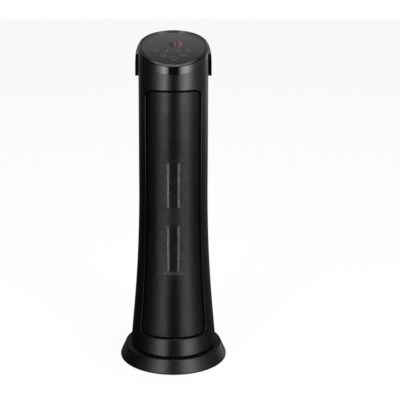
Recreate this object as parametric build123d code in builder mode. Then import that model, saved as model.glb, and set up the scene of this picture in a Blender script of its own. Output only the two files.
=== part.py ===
from build123d import *
import os
from math import acos, cos, pi, radians, sin, sqrt, tan

# A slim ceramic tower heater on a round swinging base.
# The origin is on the floor under the middle of the base, the window faces -Y.
os.makedirs("parts", exist_ok=True)

# Base
rim_radius = 101.0
rim_height = 2.0
rim_edge = 2.0
deck_radius = 91.0
deck_height = 26.9
deck_thickness = 2.5
deck_edge_round = 1.2
base_wall = 2.5
plate_thickness = 2.5
foot_pad_radius = 9.0
foot_pad_sink = 1.0
foot_pad_circle = 76.0
foot_pad_count = 5
base_post_radius = 4.0
base_post_circle = 82.0

# Tower casing
swing_gap = 2.4
foot_radius = 80.8
knee_radius = 63.56
knee_height = 216.6
top_radius = 62.4
body_blend = 2600.0
shell_wall = 2.5
seam_gap = 0.2
fit_gap = 0.15

# Domed and slanted top
top_middle_height = 591.5
crown_radius = 680.0
crown_tilt = 20.9
cap_height = 14.0
cap_edge_round = 2.4
cap_ring_radius = 59.0
panel_radius = 54.0
panel_thickness = 2.0
panel_sink = 0.6
cap_wall = 2.4
cap_skirt_drop = 6.0
cap_shelf_thickness = 2.0
cap_shelf_hole = 36.0
cap_post_radius = 2.6
cap_post_circle = 39.0

# Hood round the back of the top
hood_radius = 68.2
hood_foot_radius = 68.5
hood_length = 52.9
hood_round_width = 6.6
hood_round_height = 29.0
hood_tilt = 18.2
hood_wall = 2.4
hood_end_wall = 2.6
hood_rise = 2.0
hood_sections = 4

# Hand recess under the hood
grip_width = 84.0
grip_drop = 69.5
grip_height = 53.0
grip_front = 36.0
grip_corner = 10.0

# Window and mesh
window_bottom = 61.7
window_drop = 69.8
window_half_angle = 52.0
window_corner = 13.0
window_chamfer = 0.9
mesh_thickness = 1.2
mesh_overlap = 3.0
mesh_slot_width = 7.4
mesh_web = 2.8
mesh_blend_rows = 6

# Intake slots in the back
intake_bottom = 145.5
intake_rows = 16
intake_pitch = 16.0
intake_slot_height = 6.0
intake_slot_width = 31.0
intake_rib = 7.0

# Screws
screw_radius = 1.6
screw_head_radius = 3.2
screw_head_height = 2.2
screw_clearance = 0.1
boss_radius = 3.6
boss_depth = 22.0
screw_well_depth = 10.0
shell_boss_foot = 60.0
shell_boss_middle = 290.0
shell_boss_drop = 83.5
boss_share = 0.93

# Tower floor, hub and swing drive
floor_rise = 8.7
floor_thickness = 3.0
hub_radius = 14.0
hub_bore = 10.5
running_gap = 0.05
boss_wall = 5.0
hub_end_height = 16.6
retainer_thickness = 3.0
retainer_radius = 18.6
bearing_inner = 64.0
bearing_outer = 70.0
bearing_height = 2.2
rib_inset = 0.6
gear_module = 1.25
pinion_teeth = 12
sector_teeth = 86
pressure_angle = 20.0
gear_backlash = 0.16
gear_root = 1.2
pinion_addendum = 0.9
sector_addendum = 0.8
gear_face = 8.0
sector_rim = 4.8
swing_half_angle = 35.0
sector_margin = 9.0
motor_radius = 24.5
motor_height = 16.0
motor_shaft_radius = 3.0
shaft_flat = 2.4
shaft_hole_gap = 1.6

# Tip-over switch
tip_offset = 54.0
plunger_radius = 4.0
plunger_travel = 5.0
plunger_length = 17.0
collar_radius = 5.6
collar_thickness = 1.6
collar_height = 10.5
tip_case_length = 24.0
tip_case_width = 15.0
tip_case_floor = 12.4

# Cord inlet
bush_radius = 6.0
bush_bore = 3.7
bush_flange = 8.0
bush_height = 13.4
bush_length = 13.0
bush_lip = 1.2

# Heater
heater_bottom = 182.0
heater_length = 206.0
heater_face = 41.0
heater_depth = 14.0
heater_half_width = 30.0
frame_rail = 3.6
frame_end = 8.0
bar_offset = 9.7
bar_width = 4.0
bar_wall = 0.5
bar_stand_proud = 1.0
stone_count = 8
stone_gap = 1.2
fin_pitch = 8.0
fin_sheet = 0.55
fin_gap = 0.15
fin_depth = 11.4
cutout_width = 30.0
cutout_height = 35.0
cutout_middle = 286.5
cutout_plate = 1.0
cutout_disc_radius = 8.0
cutout_disc_height = 6.0
clip_width = 35.0
clip_height = 20.0
clip_sheet = 1.0
clip_depth = 4.0

# Blower
wheel_radius = 26.0
wheel_axis = 16.0
blade_depth = 7.5
blade_sheet = 0.9
blade_count = 20
blade_lean = 24.0
disc_thickness = 2.0
wheel_end_gap = 2.5
wheel_hub_radius = 7.0
wheel_hub_length = 14.0
wheel_spans = 2
wheel_shaft_radius = 3.0
duct_sheet = 2.0
duct_plate = 2.5
duct_plate_radius = 57.6
duct_throat_gap = 3.5
volute_growth = 9.0
volute_start = -25.0
volute_middle = 20.0
volute_end = 80.0
blower_motor_radius = 27.0
blower_motor_height = 44.0
blower_motor_gap = 4.0
bush_seat_radius = 8.0
bush_seat_height = 9.0
lug_width = 14.0
lug_height = 4.0
lug_inner_radius = 52.0
lug_angle = 32.0

# Electronics
control_deck_drop = 109.5
control_deck_thickness = 2.4
apron_height = 41.0
apron_half_width = 50.0
apron_wall = 2.0
board_thickness = 1.6
board_stand = 8.0
power_board_width = 66.0
power_board_depth = 46.0
relay_width = 15.0
relay_length = 19.0
relay_height = 15.0
relay_pitch = 20.0
capacitor_radius = 5.0
display_board_radius = 42.0
display_board_drop = 11.5
display_width = 24.0
display_depth = 14.0
display_height = 6.5
display_shift_x = 6.5
display_shift_y = 12.0

# Main switch at the back
switch_height = 95.0
switch_width = 13.2
switch_length = 19.2
switch_flange = 1.5
switch_flange_lip = 1.2
switch_body_depth = 16.0
switch_pad_drop = 2.6
rocker_width = 9.6
rocker_length = 14.0
rocker_rise = 4.2
rocker_dish = 2.0
rocker_depth = 2.5
rocker_angle = 8.0
rocker_pin_radius = 1.2
rocker_side_gap = 0.3
rocker_pin_length = 1.2

# Heights and radii that follow from the sizes above
plate_top = rim_height + plate_thickness
lip_height = deck_height + swing_gap
floor_height = lip_height + floor_rise
crown_center_y = crown_radius * sin(radians(crown_tilt))
crown_center_z = top_middle_height - crown_radius * cos(radians(crown_tilt))
window_top = top_middle_height - window_drop
hood_bottom = top_middle_height - hood_length
grip_bottom = top_middle_height - grip_drop
control_deck_height = top_middle_height - control_deck_drop
shell_boss_heights = (shell_boss_foot, shell_boss_middle, top_middle_height - shell_boss_drop)
upper_slope = (knee_radius - top_radius) / (top_middle_height - knee_height)
lower_slope = (foot_radius - knee_radius) / (knee_height - lip_height)
blend_reach = body_blend * (lower_slope - upper_slope) / 2
window_share = sin(radians(window_half_angle))
cut_reach = rim_radius
gear_offset = gear_module * (sector_teeth - pinion_teeth) / 2
swing_ratio = sector_teeth / pinion_teeth
heater_top = heater_bottom + heater_length
frame_bottom = heater_bottom - frame_end
frame_top = heater_top + frame_end
duct_floor = frame_bottom - fit_gap
duct_roof = frame_top + fit_gap
wheel_bottom = duct_floor + wheel_end_gap
wheel_top = duct_roof - wheel_end_gap
motor_top = duct_floor - duct_plate - blower_motor_gap
rear_top = top_middle_height + cap_height * 2
skirt_slope = (rim_radius - deck_radius) / (deck_height - rim_height - rim_edge)
plate_radius = rim_radius - base_wall - fit_gap - max(plate_thickness - rim_edge, 0) * skirt_slope
shelf_drop = panel_sink + panel_thickness + fit_gap


def crown_height(y, drop=0.0):
    """Height of the domed top surface at depth y, lowered by drop."""
    return crown_center_z + sqrt(crown_radius**2 - (y - crown_center_y) ** 2) - drop


def body_radius(z):
    """Outer radius of the casing at height z: a drafted tube, a long blend and a cone."""
    depth = knee_height + blend_reach - z
    upper = knee_radius + (knee_height - z) * upper_slope
    if depth <= 0:
        return upper
    if depth >= 2 * blend_reach:
        return knee_radius + (knee_height - z) * lower_slope
    return upper + depth**2 / (2 * body_blend)


def body_face(inset, low, high):
    """Closed half section of the casing, inset from its outer face, between two heights."""
    foot = knee_radius + (knee_height - low) * lower_slope
    head = knee_radius + (knee_height - high) * upper_slope
    blend_low = (knee_radius + blend_reach * lower_slope - inset, knee_height - blend_reach)
    blend_high = (knee_radius - blend_reach * upper_slope - inset, knee_height + blend_reach)
    with BuildLine() as outline:
        Line((foot - inset, low), blend_low)
        Bezier(blend_low, (knee_radius - inset, knee_height), blend_high)
        Polyline(blend_high, (head - inset, high), (0, high), (0, low), (foot - inset, low))
    make_face(outline.edges())


def under_crown(drop, low):
    """Side view of all that lies below the domed top, lowered by drop, and above a height."""
    with BuildLine() as outline:
        dome = ThreePointArc(
            (-cut_reach, crown_height(-cut_reach, drop)),
            (0, crown_height(0, drop)),
            (cut_reach, crown_height(cut_reach, drop)),
        )
        Polyline(dome @ 1, (cut_reach, low), (-cut_reach, low), dome @ 0)
    make_face(outline.edges())


def window_face(grow):
    """Front view of the window: its sides follow the outline of the casing."""
    low = window_bottom - grow
    high = window_top + grow
    foot = (knee_radius + (knee_height - low) * lower_slope) * window_share + grow
    knee = knee_radius * window_share + grow
    head = (knee_radius + (knee_height - high) * upper_slope) * window_share + grow
    with BuildLine() as outline:
        right = FilletPolyline((foot, low), (knee, knee_height), (head, high), radius=body_blend)
        left = FilletPolyline((-foot, low), (-knee, knee_height), (-head, high), radius=body_blend)
        Line(right @ 0, left @ 0)
        Line(right @ 1, left @ 1)
    make_face(outline.edges())
    corners = vertices().group_by(Axis.Y)
    fillet(corners[0] + corners[-1], radius=window_corner + grow)


def on_window_rim(edge):
    """Whether an edge of the casing lies in its outer face, along the window."""
    middle = edge @ 0.5
    reach = sqrt(middle.X**2 + middle.Y**2)
    beside = all(abs(end.X) < body_radius(end.Z) * window_share + seam_gap for end in (edge @ 0, edge @ 1))
    return beside and reach > body_radius(middle.Z) - shell_wall / 4


def tilted_plane(height, tilt):
    """Plane through the upright axis at a height, rising towards the back."""
    return Plane(origin=(0, 0, height), x_dir=(1, 0, 0), z_dir=(0, -sin(radians(tilt)), cos(radians(tilt))))


def hood_edge_radius(drop):
    """Radius of the hood at a distance below its top edge: a quarter of an ellipse."""
    lean = min(max(1 - drop / hood_round_height, 0), 1)
    return hood_radius - hood_round_width * (1 - sqrt(1 - lean**2))


def boss_places(z):
    """Where the two casing screws of one height stand, seen from the front."""
    x = (body_radius(z) - shell_wall) * boss_share
    return [(-x, z), (x, z)]


def involute_half_angle(radius, pitch_radius, teeth, thinning):
    """Half of a tooth's angle at a radius, for an involute flank."""
    base_radius = pitch_radius * cos(radians(pressure_angle))
    at_pitch = pi / (2 * teeth) - thinning / (2 * pitch_radius)
    roll = acos(min(base_radius / radius, 1.0))
    pitch_roll = radians(pressure_angle)
    return at_pitch + (tan(pitch_roll) - pitch_roll) - (tan(roll) - roll)


def tooth_face(low, high, pitch_radius, teeth, thinning):
    """One tooth pointing along +X, with an arc for each involute flank."""
    base_radius = pitch_radius * cos(radians(pressure_angle))
    start = max(low, base_radius)
    middle = (start + high) / 2

    def at(radius, side):
        angle = side * involute_half_angle(max(radius, base_radius), pitch_radius, teeth, thinning)
        return (radius * cos(angle), radius * sin(angle))

    with BuildLine() as outline:
        upper = ThreePointArc(at(start, 1), at(middle, 1), at(high, 1))
        lower = ThreePointArc(at(start, -1), at(middle, -1), at(high, -1))
        ThreePointArc(upper @ 1, (high, 0), lower @ 1)
        if start > low:
            Line(upper @ 0, at(low, 1))
            Line(lower @ 0, at(low, -1))
        Line(at(low, 1), at(low, -1))
    make_face(outline.edges())


# Base cover: skirt, flat deck, bearing boss and screw posts
with BuildPart() as base_cover:
    with BuildSketch(Plane.XZ):
        with BuildLine():
            Polyline(
                (rim_radius - base_wall, rim_height),
                (rim_radius, rim_height),
                (rim_radius, rim_height + rim_edge),
                (deck_radius, deck_height),
                (hub_radius + running_gap, deck_height),
                (hub_radius + running_gap, hub_end_height + fit_gap),
                (hub_radius + boss_wall, hub_end_height + fit_gap),
                (hub_radius + boss_wall, deck_height - deck_thickness),
                (deck_radius - base_wall, deck_height - deck_thickness),
                (rim_radius - base_wall, rim_height + rim_edge),
                (rim_radius - base_wall, rim_height),
            )
        make_face()
    revolve(axis=Axis.Z)
    deck_rim = edges().filter_by(GeomType.CIRCLE).filter_by(lambda e: abs(e.radius - deck_radius) < fit_gap)
    fillet(deck_rim, radius=deck_edge_round)
    with BuildSketch(Plane.XY.offset(plate_top + fit_gap)):
        with PolarLocations(base_post_circle, 4, start_angle=45):
            Circle(base_post_radius)
    extrude(until=Until.NEXT)
    with BuildSketch(Plane.XY.offset(plate_top + fit_gap)):
        with PolarLocations(base_post_circle, 4, start_angle=45):
            Circle(screw_radius + screw_clearance)
    extrude(amount=screw_well_depth, mode=Mode.SUBTRACT)
    with BuildSketch(Plane.XY.offset(deck_height - deck_thickness)):
        with Locations((0, -gear_offset)):
            Circle(motor_shaft_radius + shaft_hole_gap)
    extrude(amount=deck_thickness, mode=Mode.SUBTRACT)
    with BuildSketch(Plane.XZ.offset(-deck_radius + bush_length)):
        with Locations((0, bush_height)):
            Circle(bush_radius + fit_gap)
    extrude(amount=-rim_radius, mode=Mode.SUBTRACT)
base_cover.part.label = "base_cover"
export_step(base_cover.part, "parts/base_cover.step")

# Base plate with recesses for the feet
with BuildPart() as base_plate:
    with BuildSketch(Plane.XY.offset(rim_height)):
        Circle(plate_radius)
    extrude(amount=plate_thickness)
    with BuildSketch(Plane.XY.offset(rim_height)):
        with PolarLocations(foot_pad_circle, foot_pad_count, start_angle=90):
            Circle(foot_pad_radius + fit_gap)
    extrude(amount=foot_pad_sink, mode=Mode.SUBTRACT)
    with BuildSketch(Plane.XY.offset(rim_height)):
        with PolarLocations(base_post_circle, 4, start_angle=45):
            Circle(screw_radius + screw_clearance)
        with Locations((tip_offset, 0)):
            Circle(plunger_radius + fit_gap)
    extrude(amount=plate_thickness, mode=Mode.SUBTRACT)
    with BuildSketch(Plane.XY.offset(rim_height)):
        with PolarLocations(base_post_circle, 4, start_angle=45):
            Circle(screw_head_radius + screw_clearance)
    extrude(amount=plate_thickness / 2, mode=Mode.SUBTRACT)
base_plate.part.label = "base_plate"
export_step(base_plate.part, "parts/base_plate.step")

with BuildPart() as rubber_feet:
    with BuildSketch(Plane.XY):
        with PolarLocations(foot_pad_circle, foot_pad_count, start_angle=90):
            Circle(foot_pad_radius)
    extrude(amount=rim_height + foot_pad_sink)
    foot_edges = edges().group_by(Axis.Z)[0]
    chamfer(foot_edges, length=foot_pad_sink / 2)
rubber_feet.part.label = "rubber_feet"
export_step(rubber_feet.part, "parts/rubber_feet.step")

# Screws that hold the plate to the posts of the cover
with BuildPart() as base_screws:
    with BuildSketch(Plane.XY.offset(rim_height + fit_gap)):
        with PolarLocations(base_post_circle, 4, start_angle=45):
            Circle(screw_head_radius)
    extrude(amount=plate_thickness / 2 - fit_gap)
    with BuildSketch(Plane.XY.offset(rim_height + plate_thickness / 2)):
        with PolarLocations(base_post_circle, 4, start_angle=45):
            Circle(screw_radius)
    extrude(amount=screw_well_depth)
base_screws.part.label = "base_screws"
export_step(base_screws.part, "parts/base_screws.step")

# Slide ring on which the tower turns
with BuildPart() as turntable_ring:
    with BuildSketch(Plane.XY.offset(deck_height)):
        Circle(bearing_outer)
        Circle(bearing_inner, mode=Mode.SUBTRACT)
    extrude(amount=bearing_height)
turntable_ring.part.label = "turntable_ring"
export_step(turntable_ring.part, "parts/turntable_ring.step")

# Swing motor under the deck: flat can with two ears
with BuildPart() as swing_motor:
    with BuildSketch(Plane.XY.offset(deck_height - deck_thickness - fit_gap - motor_height)):
        with Locations((0, -gear_offset)):
            Circle(motor_radius)
    extrude(amount=motor_height)
    chamfer(edges().group_by(Axis.Z)[0], length=base_wall / 2)
    with BuildSketch(Plane.XY.offset(deck_height - deck_thickness - fit_gap - duct_sheet)):
        with Locations((0, -gear_offset)):
            SlotCenterToCenter(2 * motor_radius + boss_radius * 2, boss_radius * 2)
    extrude(amount=duct_sheet)
    with BuildSketch(Plane.XY.offset(deck_height - deck_thickness - fit_gap - motor_height)):
        with Locations((0, -gear_offset)):
            Circle(motor_shaft_radius + running_gap)
    extrude(amount=motor_height, mode=Mode.SUBTRACT)
swing_motor.part.label = "swing_motor"
export_step(swing_motor.part, "parts/swing_motor.step")

# Output shaft with a flat, and the pinion on it
with BuildPart() as motor_shaft:
    with BuildSketch(Plane.XY.offset(deck_height - deck_thickness - motor_height / 2)):
        with Locations((0, -gear_offset)):
            Circle(motor_shaft_radius)
    extrude(amount=deck_thickness + motor_height / 2)
    with BuildSketch(Plane.XY.offset(deck_height)):
        with Locations((0, -gear_offset)):
            Circle(motor_shaft_radius)
            with Locations((shaft_flat, 0)):
                Rectangle(
                    motor_shaft_radius,
                    2 * motor_shaft_radius,
                    align=(Align.MIN, Align.CENTER),
                    mode=Mode.SUBTRACT,
                )
    extrude(amount=floor_rise + swing_gap - fit_gap * 2)
motor_shaft.part.label = "motor_shaft"
export_step(motor_shaft.part, "parts/motor_shaft.step")

pinion_pitch = gear_module * pinion_teeth / 2
pinion_root = pinion_pitch - gear_root * gear_module
pinion_tip = pinion_pitch + pinion_addendum * gear_module
gear_bottom = floor_height - fit_gap - gear_face
with BuildSketch() as pinion_tooth:
    tooth_face(pinion_root - fit_gap, pinion_tip, pinion_pitch, pinion_teeth, gear_backlash)
with BuildPart() as drive_pinion:
    with BuildSketch(Plane.XY.offset(gear_bottom - fit_gap)):
        with Locations((0, -gear_offset)):
            Circle(pinion_root)
            with PolarLocations(0, pinion_teeth, start_angle=-90):
                add(pinion_tooth.sketch)
            Circle(motor_shaft_radius + running_gap, mode=Mode.SUBTRACT)
    extrude(amount=gear_face - fit_gap)
drive_pinion.part.label = "drive_pinion"
export_step(drive_pinion.part, "parts/drive_pinion.step")

# Toothed sector under the tower floor
sector_pitch = gear_module * sector_teeth / 2
sector_tip = sector_pitch - sector_addendum * gear_module
sector_root = sector_pitch + gear_root * gear_module
tooth_step = 360 / sector_teeth
sector_spaces = int((swing_half_angle + sector_margin) / tooth_step)
sector_half_angle = (sector_spaces + 1) * tooth_step
with BuildSketch() as sector_space:
    tooth_face(sector_tip - fit_gap, sector_root, sector_pitch, sector_teeth, -gear_backlash)
with BuildPart() as gear_sector:
    with BuildSketch(Plane.XY.offset(gear_bottom)):
        with BuildLine():
            inner = CenterArc((0, 0), sector_tip, -90 - sector_half_angle, 2 * sector_half_angle)
            outer = CenterArc((0, 0), sector_root + sector_rim, -90 - sector_half_angle, 2 * sector_half_angle)
            Line(inner @ 0, outer @ 0)
            Line(inner @ 1, outer @ 1)
        make_face()
        for space in range(-sector_spaces, sector_spaces + 1):
            with Locations(Location((0, 0), -90 + space * tooth_step)):
                add(sector_space.sketch, mode=Mode.SUBTRACT)
    extrude(amount=gear_face)
gear_sector.part.label = "gear_sector"
export_step(gear_sector.part, "parts/gear_sector.step")

# Tower floor: disc, hollow hub through the base and rib on the slide ring
with BuildPart() as tower_floor:
    floor_edge = body_radius(floor_height + floor_thickness) - shell_wall - fit_gap
    with BuildSketch(Plane.XZ):
        with BuildLine():
            Polyline(
                (hub_bore, hub_end_height),
                (hub_radius, hub_end_height),
                (hub_radius, floor_height),
                (bearing_inner + rib_inset, floor_height),
                (bearing_inner + rib_inset, deck_height + bearing_height + running_gap),
                (bearing_outer - rib_inset, deck_height + bearing_height + running_gap),
                (bearing_outer - rib_inset, floor_height),
                (floor_edge, floor_height),
                (floor_edge, floor_height + floor_thickness),
                (hub_bore, floor_height + floor_thickness),
                (hub_bore, hub_end_height),
            )
        make_face()
    revolve(axis=Axis.Z)
    hub_wall_middle = (hub_bore + hub_radius) / 2
    with BuildSketch(Plane.XY.offset(hub_end_height)):
        with PolarLocations(hub_wall_middle, 3, start_angle=90):
            Circle(screw_radius / 2 + screw_clearance)
    extrude(amount=screw_well_depth - base_wall, mode=Mode.SUBTRACT)
tower_floor.part.label = "tower_floor"
export_step(tower_floor.part, "parts/tower_floor.step")

with BuildPart() as hub_retainer:
    with BuildSketch(Plane.XY.offset(hub_end_height - retainer_thickness)):
        Circle(retainer_radius)
        Circle(hub_bore, mode=Mode.SUBTRACT)
        with PolarLocations(hub_wall_middle, 3, start_angle=90):
            Circle(screw_radius / 2 + screw_clearance, mode=Mode.SUBTRACT)
    extrude(amount=retainer_thickness)
hub_retainer.part.label = "hub_retainer"
export_step(hub_retainer.part, "parts/hub_retainer.step")

with BuildPart() as hub_screws:
    with BuildSketch(Plane.XY.offset(hub_end_height - retainer_thickness - screw_head_height)):
        with PolarLocations(hub_wall_middle, 3, start_angle=90):
            Circle(screw_radius)
    extrude(amount=screw_head_height)
    with BuildSketch(Plane.XY.offset(hub_end_height - retainer_thickness)):
        with PolarLocations(hub_wall_middle, 3, start_angle=90):
            Circle(screw_radius / 2)
    extrude(amount=retainer_thickness + screw_well_depth / 2)
hub_screws.part.label = "hub_screws"
export_step(hub_screws.part, "parts/hub_screws.step")

# Tip-over switch: case under the deck and the plunger that the floor pushes in
tip_case_height = deck_height - deck_thickness - fit_gap - tip_case_floor
with BuildPart() as tip_switch:
    with BuildSketch(Plane.XY.offset(tip_case_floor)):
        with Locations((tip_offset, 0)):
            RectangleRounded(tip_case_width, tip_case_length, base_wall)
    extrude(amount=tip_case_height)
    with BuildSketch(Plane.XY.offset(tip_case_floor)):
        with Locations((tip_offset, 0)):
            Circle(plunger_radius + running_gap)
    extrude(amount=tip_case_height - base_wall, mode=Mode.SUBTRACT)
    with BuildSketch(Plane.XY.offset(plate_top)):
        with GridLocations(0, tip_case_length - 2 * base_wall, 1, 2):
            with Locations((tip_offset, 0)):
                Circle(base_wall)
    extrude(amount=tip_case_floor - plate_top)
tip_switch.part.label = "tip_switch"
export_step(tip_switch.part, "parts/tip_switch.step")

with BuildPart() as tip_plunger:
    with BuildSketch(Plane.XY):
        with Locations((tip_offset, 0)):
            Circle(plunger_radius)
    extrude(amount=plunger_length)
    chamfer(edges().group_by(Axis.Z)[0], length=plunger_radius / 4)
    with BuildSketch(Plane.XY.offset(collar_height)):
        with Locations((tip_offset, 0)):
            Circle(collar_radius)
    extrude(amount=collar_thickness)
tip_plunger.part.label = "tip_plunger"
export_step(tip_plunger.part, "parts/tip_plunger.step")

# Rubber bush where the cord enters the base
bush_face = rim_radius - (bush_height - rim_height - rim_edge) * skirt_slope
with BuildPart() as cord_bush:
    with BuildSketch(Plane.XZ.offset(-bush_face - bush_lip)):
        with Locations((0, bush_height)):
            Circle(bush_radius)
    extrude(amount=bush_length)
    with BuildSketch(Plane.XZ.offset(-bush_face - bush_lip + bush_length)):
        with Locations((0, bush_height)):
            Circle(bush_flange)
    extrude(amount=-base_wall)
    with BuildSketch(Plane.XZ.offset(-bush_face - bush_lip)):
        with Locations((0, bush_height)):
            Circle(bush_bore)
    extrude(amount=bush_length, mode=Mode.SUBTRACT)
cord_bush.part.label = "cord_bush"
export_step(cord_bush.part, "parts/cord_bush.step")

# Casing halves: the same wall, cut at the upright seam
def casing_half(toward):
    """Half of the casing wall, on the -Y side for -1 and on the +Y side for 1."""
    with BuildSketch(Plane.XZ) as outside:
        body_face(0, lip_height, rear_top)
    revolve(outside.sketch, axis=Axis.Z)
    with BuildSketch(Plane.XZ) as inside:
        body_face(shell_wall, lip_height, rear_top)
    revolve(inside.sketch, axis=Axis.Z, mode=Mode.SUBTRACT)
    with BuildSketch(Plane.YZ) as side_view:
        under_crown(cap_height + seam_gap, lip_height)
    extrude(side_view.sketch, amount=cut_reach, both=True, mode=Mode.INTERSECT)
    with BuildSketch(Plane.XZ.offset(-toward * seam_gap / 2)) as half_space:
        with Locations((0, rear_top / 2)):
            Rectangle(2 * cut_reach, rear_top)
    extrude(half_space.sketch, amount=-toward * cut_reach, mode=Mode.INTERSECT)


with BuildPart() as front_bosses:
    with BuildSketch(Plane.XZ.offset(seam_gap / 2)):
        for z in shell_boss_heights:
            with Locations(*boss_places(z)):
                Circle(boss_radius)
                Circle(screw_radius + screw_clearance, mode=Mode.SUBTRACT)
    extrude(amount=boss_depth)
    with BuildSketch(Plane.XZ):
        body_face(shell_wall / 2, lip_height, rear_top)
    revolve(axis=Axis.Z, mode=Mode.INTERSECT)

with BuildPart() as front_shell:
    casing_half(-1)
    add(front_bosses.part)
    with BuildSketch(Plane.XZ):
        window_face(0)
    extrude(amount=cut_reach, mode=Mode.SUBTRACT)
    chamfer(edges(Select.LAST).filter_by(on_window_rim), length=window_chamfer)
front_shell.part.label = "front_shell"
export_step(front_shell.part, "parts/front_shell.step")

# Perforated sheet behind the window: staggered upright slots
mesh_inset = shell_wall + fit_gap
mesh_row_pitch = 2 * blend_reach / mesh_blend_rows
mesh_slot_height = mesh_row_pitch - mesh_web
mesh_column_pitch = mesh_slot_width + mesh_web
mesh_first_row = -int((knee_height - blend_reach - window_bottom) / mesh_row_pitch)
mesh_last_row = int((window_top - knee_height + blend_reach) / mesh_row_pitch)
with BuildPart() as mesh_panel:
    with BuildSketch(Plane.XZ):
        body_face(mesh_inset, window_bottom - mesh_overlap, window_top + mesh_overlap)
    revolve(axis=Axis.Z)
    with BuildSketch(Plane.XZ):
        body_face(mesh_inset + mesh_thickness, window_bottom - mesh_overlap, window_top + mesh_overlap)
    revolve(axis=Axis.Z, mode=Mode.SUBTRACT)
    with BuildSketch(Plane.XZ):
        for row in range(mesh_first_row, mesh_last_row):
            z = knee_height - blend_reach + (row + 1 / 2) * mesh_row_pitch
            free_width = 2 * (body_radius(z + mesh_slot_height) * window_share - window_corner)
            columns = int(free_width / mesh_column_pitch)
            columns -= (columns + row) % 2
            with Locations((0, z)):
                with GridLocations(mesh_column_pitch, 0, columns, 1):
                    Rectangle(mesh_slot_width, mesh_slot_height)
    extrude(amount=cut_reach, mode=Mode.SUBTRACT)
    with BuildSketch(Plane.XZ):
        window_face(mesh_overlap)
    extrude(amount=cut_reach, mode=Mode.INTERSECT)
mesh_panel.part.label = "mesh_panel"
export_step(mesh_panel.part, "parts/mesh_panel.step")

# Rear shell: intake slots, hand recess, screw wells, lugs and the flat pad of the switch
pad_face = sqrt(body_radius(switch_height + switch_length / 2) ** 2 - (switch_width / 2) ** 2) - switch_pad_drop
with BuildPart() as rear_bosses:
    with BuildSketch(Plane.XZ.offset(-seam_gap / 2)):
        for z in shell_boss_heights:
            with Locations(*boss_places(z)):
                Circle(screw_head_radius + base_wall)
    extrude(amount=-cut_reach)
    with BuildSketch(Plane.XZ.offset(-grip_front + shell_wall)):
        with Locations((0, grip_bottom - shell_wall)):
            Rectangle(
                grip_width + 2 * shell_wall, grip_height + 2 * shell_wall, align=(Align.CENTER, Align.MIN)
            )
    extrude(amount=-cut_reach)
    with BuildSketch(Plane.XZ.offset(-pad_face + shell_wall)):
        with Locations((0, switch_height)):
            Rectangle(switch_width + 3 * shell_wall, switch_length + 3 * shell_wall)
    extrude(amount=-cut_reach)
    for z in (duct_floor - duct_plate, duct_roof, control_deck_height):
        with BuildSketch(Plane.XY.offset(z - fit_gap - lug_height)):
            for angle in (lug_angle, 180 - lug_angle):
                with PolarLocations(lug_inner_radius, 1, start_angle=angle):
                    Rectangle(cut_reach, lug_width, align=(Align.MIN, Align.CENTER))
        extrude(amount=lug_height)
    with BuildSketch(Plane.XZ):
        body_face(shell_wall / 2, lip_height, rear_top)
    revolve(axis=Axis.Z, mode=Mode.INTERSECT)

with BuildPart() as rear_shell:
    casing_half(1)
    add(rear_bosses.part)
    with BuildSketch(Plane.XZ.offset(-grip_front)):
        with Locations((0, grip_bottom)):
            Rectangle(grip_width, grip_height, align=(Align.CENTER, Align.MIN))
        fillet(vertices(), radius=grip_corner)
    extrude(amount=-cut_reach, mode=Mode.SUBTRACT)
    with BuildSketch(Plane.XZ.offset(-screw_well_depth)):
        for z in shell_boss_heights:
            with Locations(*boss_places(z)):
                Circle(screw_head_radius + screw_clearance)
    extrude(amount=-cut_reach, mode=Mode.SUBTRACT)
    with BuildSketch(Plane.XZ):
        for z in shell_boss_heights:
            with Locations(*boss_places(z)):
                Circle(screw_radius + screw_clearance)
    extrude(amount=-cut_reach, mode=Mode.SUBTRACT)
    with BuildSketch(Plane.XZ.offset(-pad_face)):
        with Locations((0, switch_height)):
            Rectangle(
                switch_width + 2 * (switch_flange_lip + fit_gap), switch_length + 2 * (switch_flange_lip + fit_gap)
            )
    extrude(amount=-cut_reach, mode=Mode.SUBTRACT)
    with BuildSketch(Plane.XZ):
        with Locations((0, switch_height)):
            Rectangle(switch_width + 2 * fit_gap, switch_length + 2 * fit_gap)
    extrude(amount=-cut_reach, mode=Mode.SUBTRACT)
    with BuildSketch(Plane.XZ):
        with Locations((0, intake_bottom + (intake_rows - 1) * intake_pitch / 2)):
            with GridLocations(intake_slot_width + intake_rib, intake_pitch, 2, intake_rows):
                Rectangle(intake_slot_width, intake_slot_height)
    extrude(amount=-cut_reach, mode=Mode.SUBTRACT)
rear_shell.part.label = "rear_shell"
export_step(rear_shell.part, "parts/rear_shell.step")

with BuildPart() as shell_screws:
    with BuildSketch(Plane.XZ.offset(-screw_well_depth)):
        for z in shell_boss_heights:
            with Locations(*boss_places(z)):
                Circle(screw_head_radius)
    extrude(amount=-screw_head_height)
    with BuildSketch(Plane.XZ.offset(-screw_well_depth)):
        for z in shell_boss_heights:
            with Locations(*boss_places(z)):
                Circle(screw_radius)
    extrude(amount=screw_well_depth + boss_depth / 2)
shell_screws.part.label = "shell_screws"
export_step(shell_screws.part, "parts/shell_screws.step")

# Cap: gloss band, ring round the panel, shelf under it and a spigot inside the casing
def cap_plan(inset):
    """Plan of the cap: the full casing radius in front, the ring radius behind it."""
    with BuildSketch() as plan:
        Circle(body_radius(top_middle_height) - inset)
        with Locations((0, -seam_gap / 2 - inset)):
            Rectangle(3 * top_radius, 2 * top_radius, align=(Align.CENTER, Align.MAX), mode=Mode.INTERSECT)
        Circle(cap_ring_radius - inset)
    add(plan.sketch)


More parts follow.
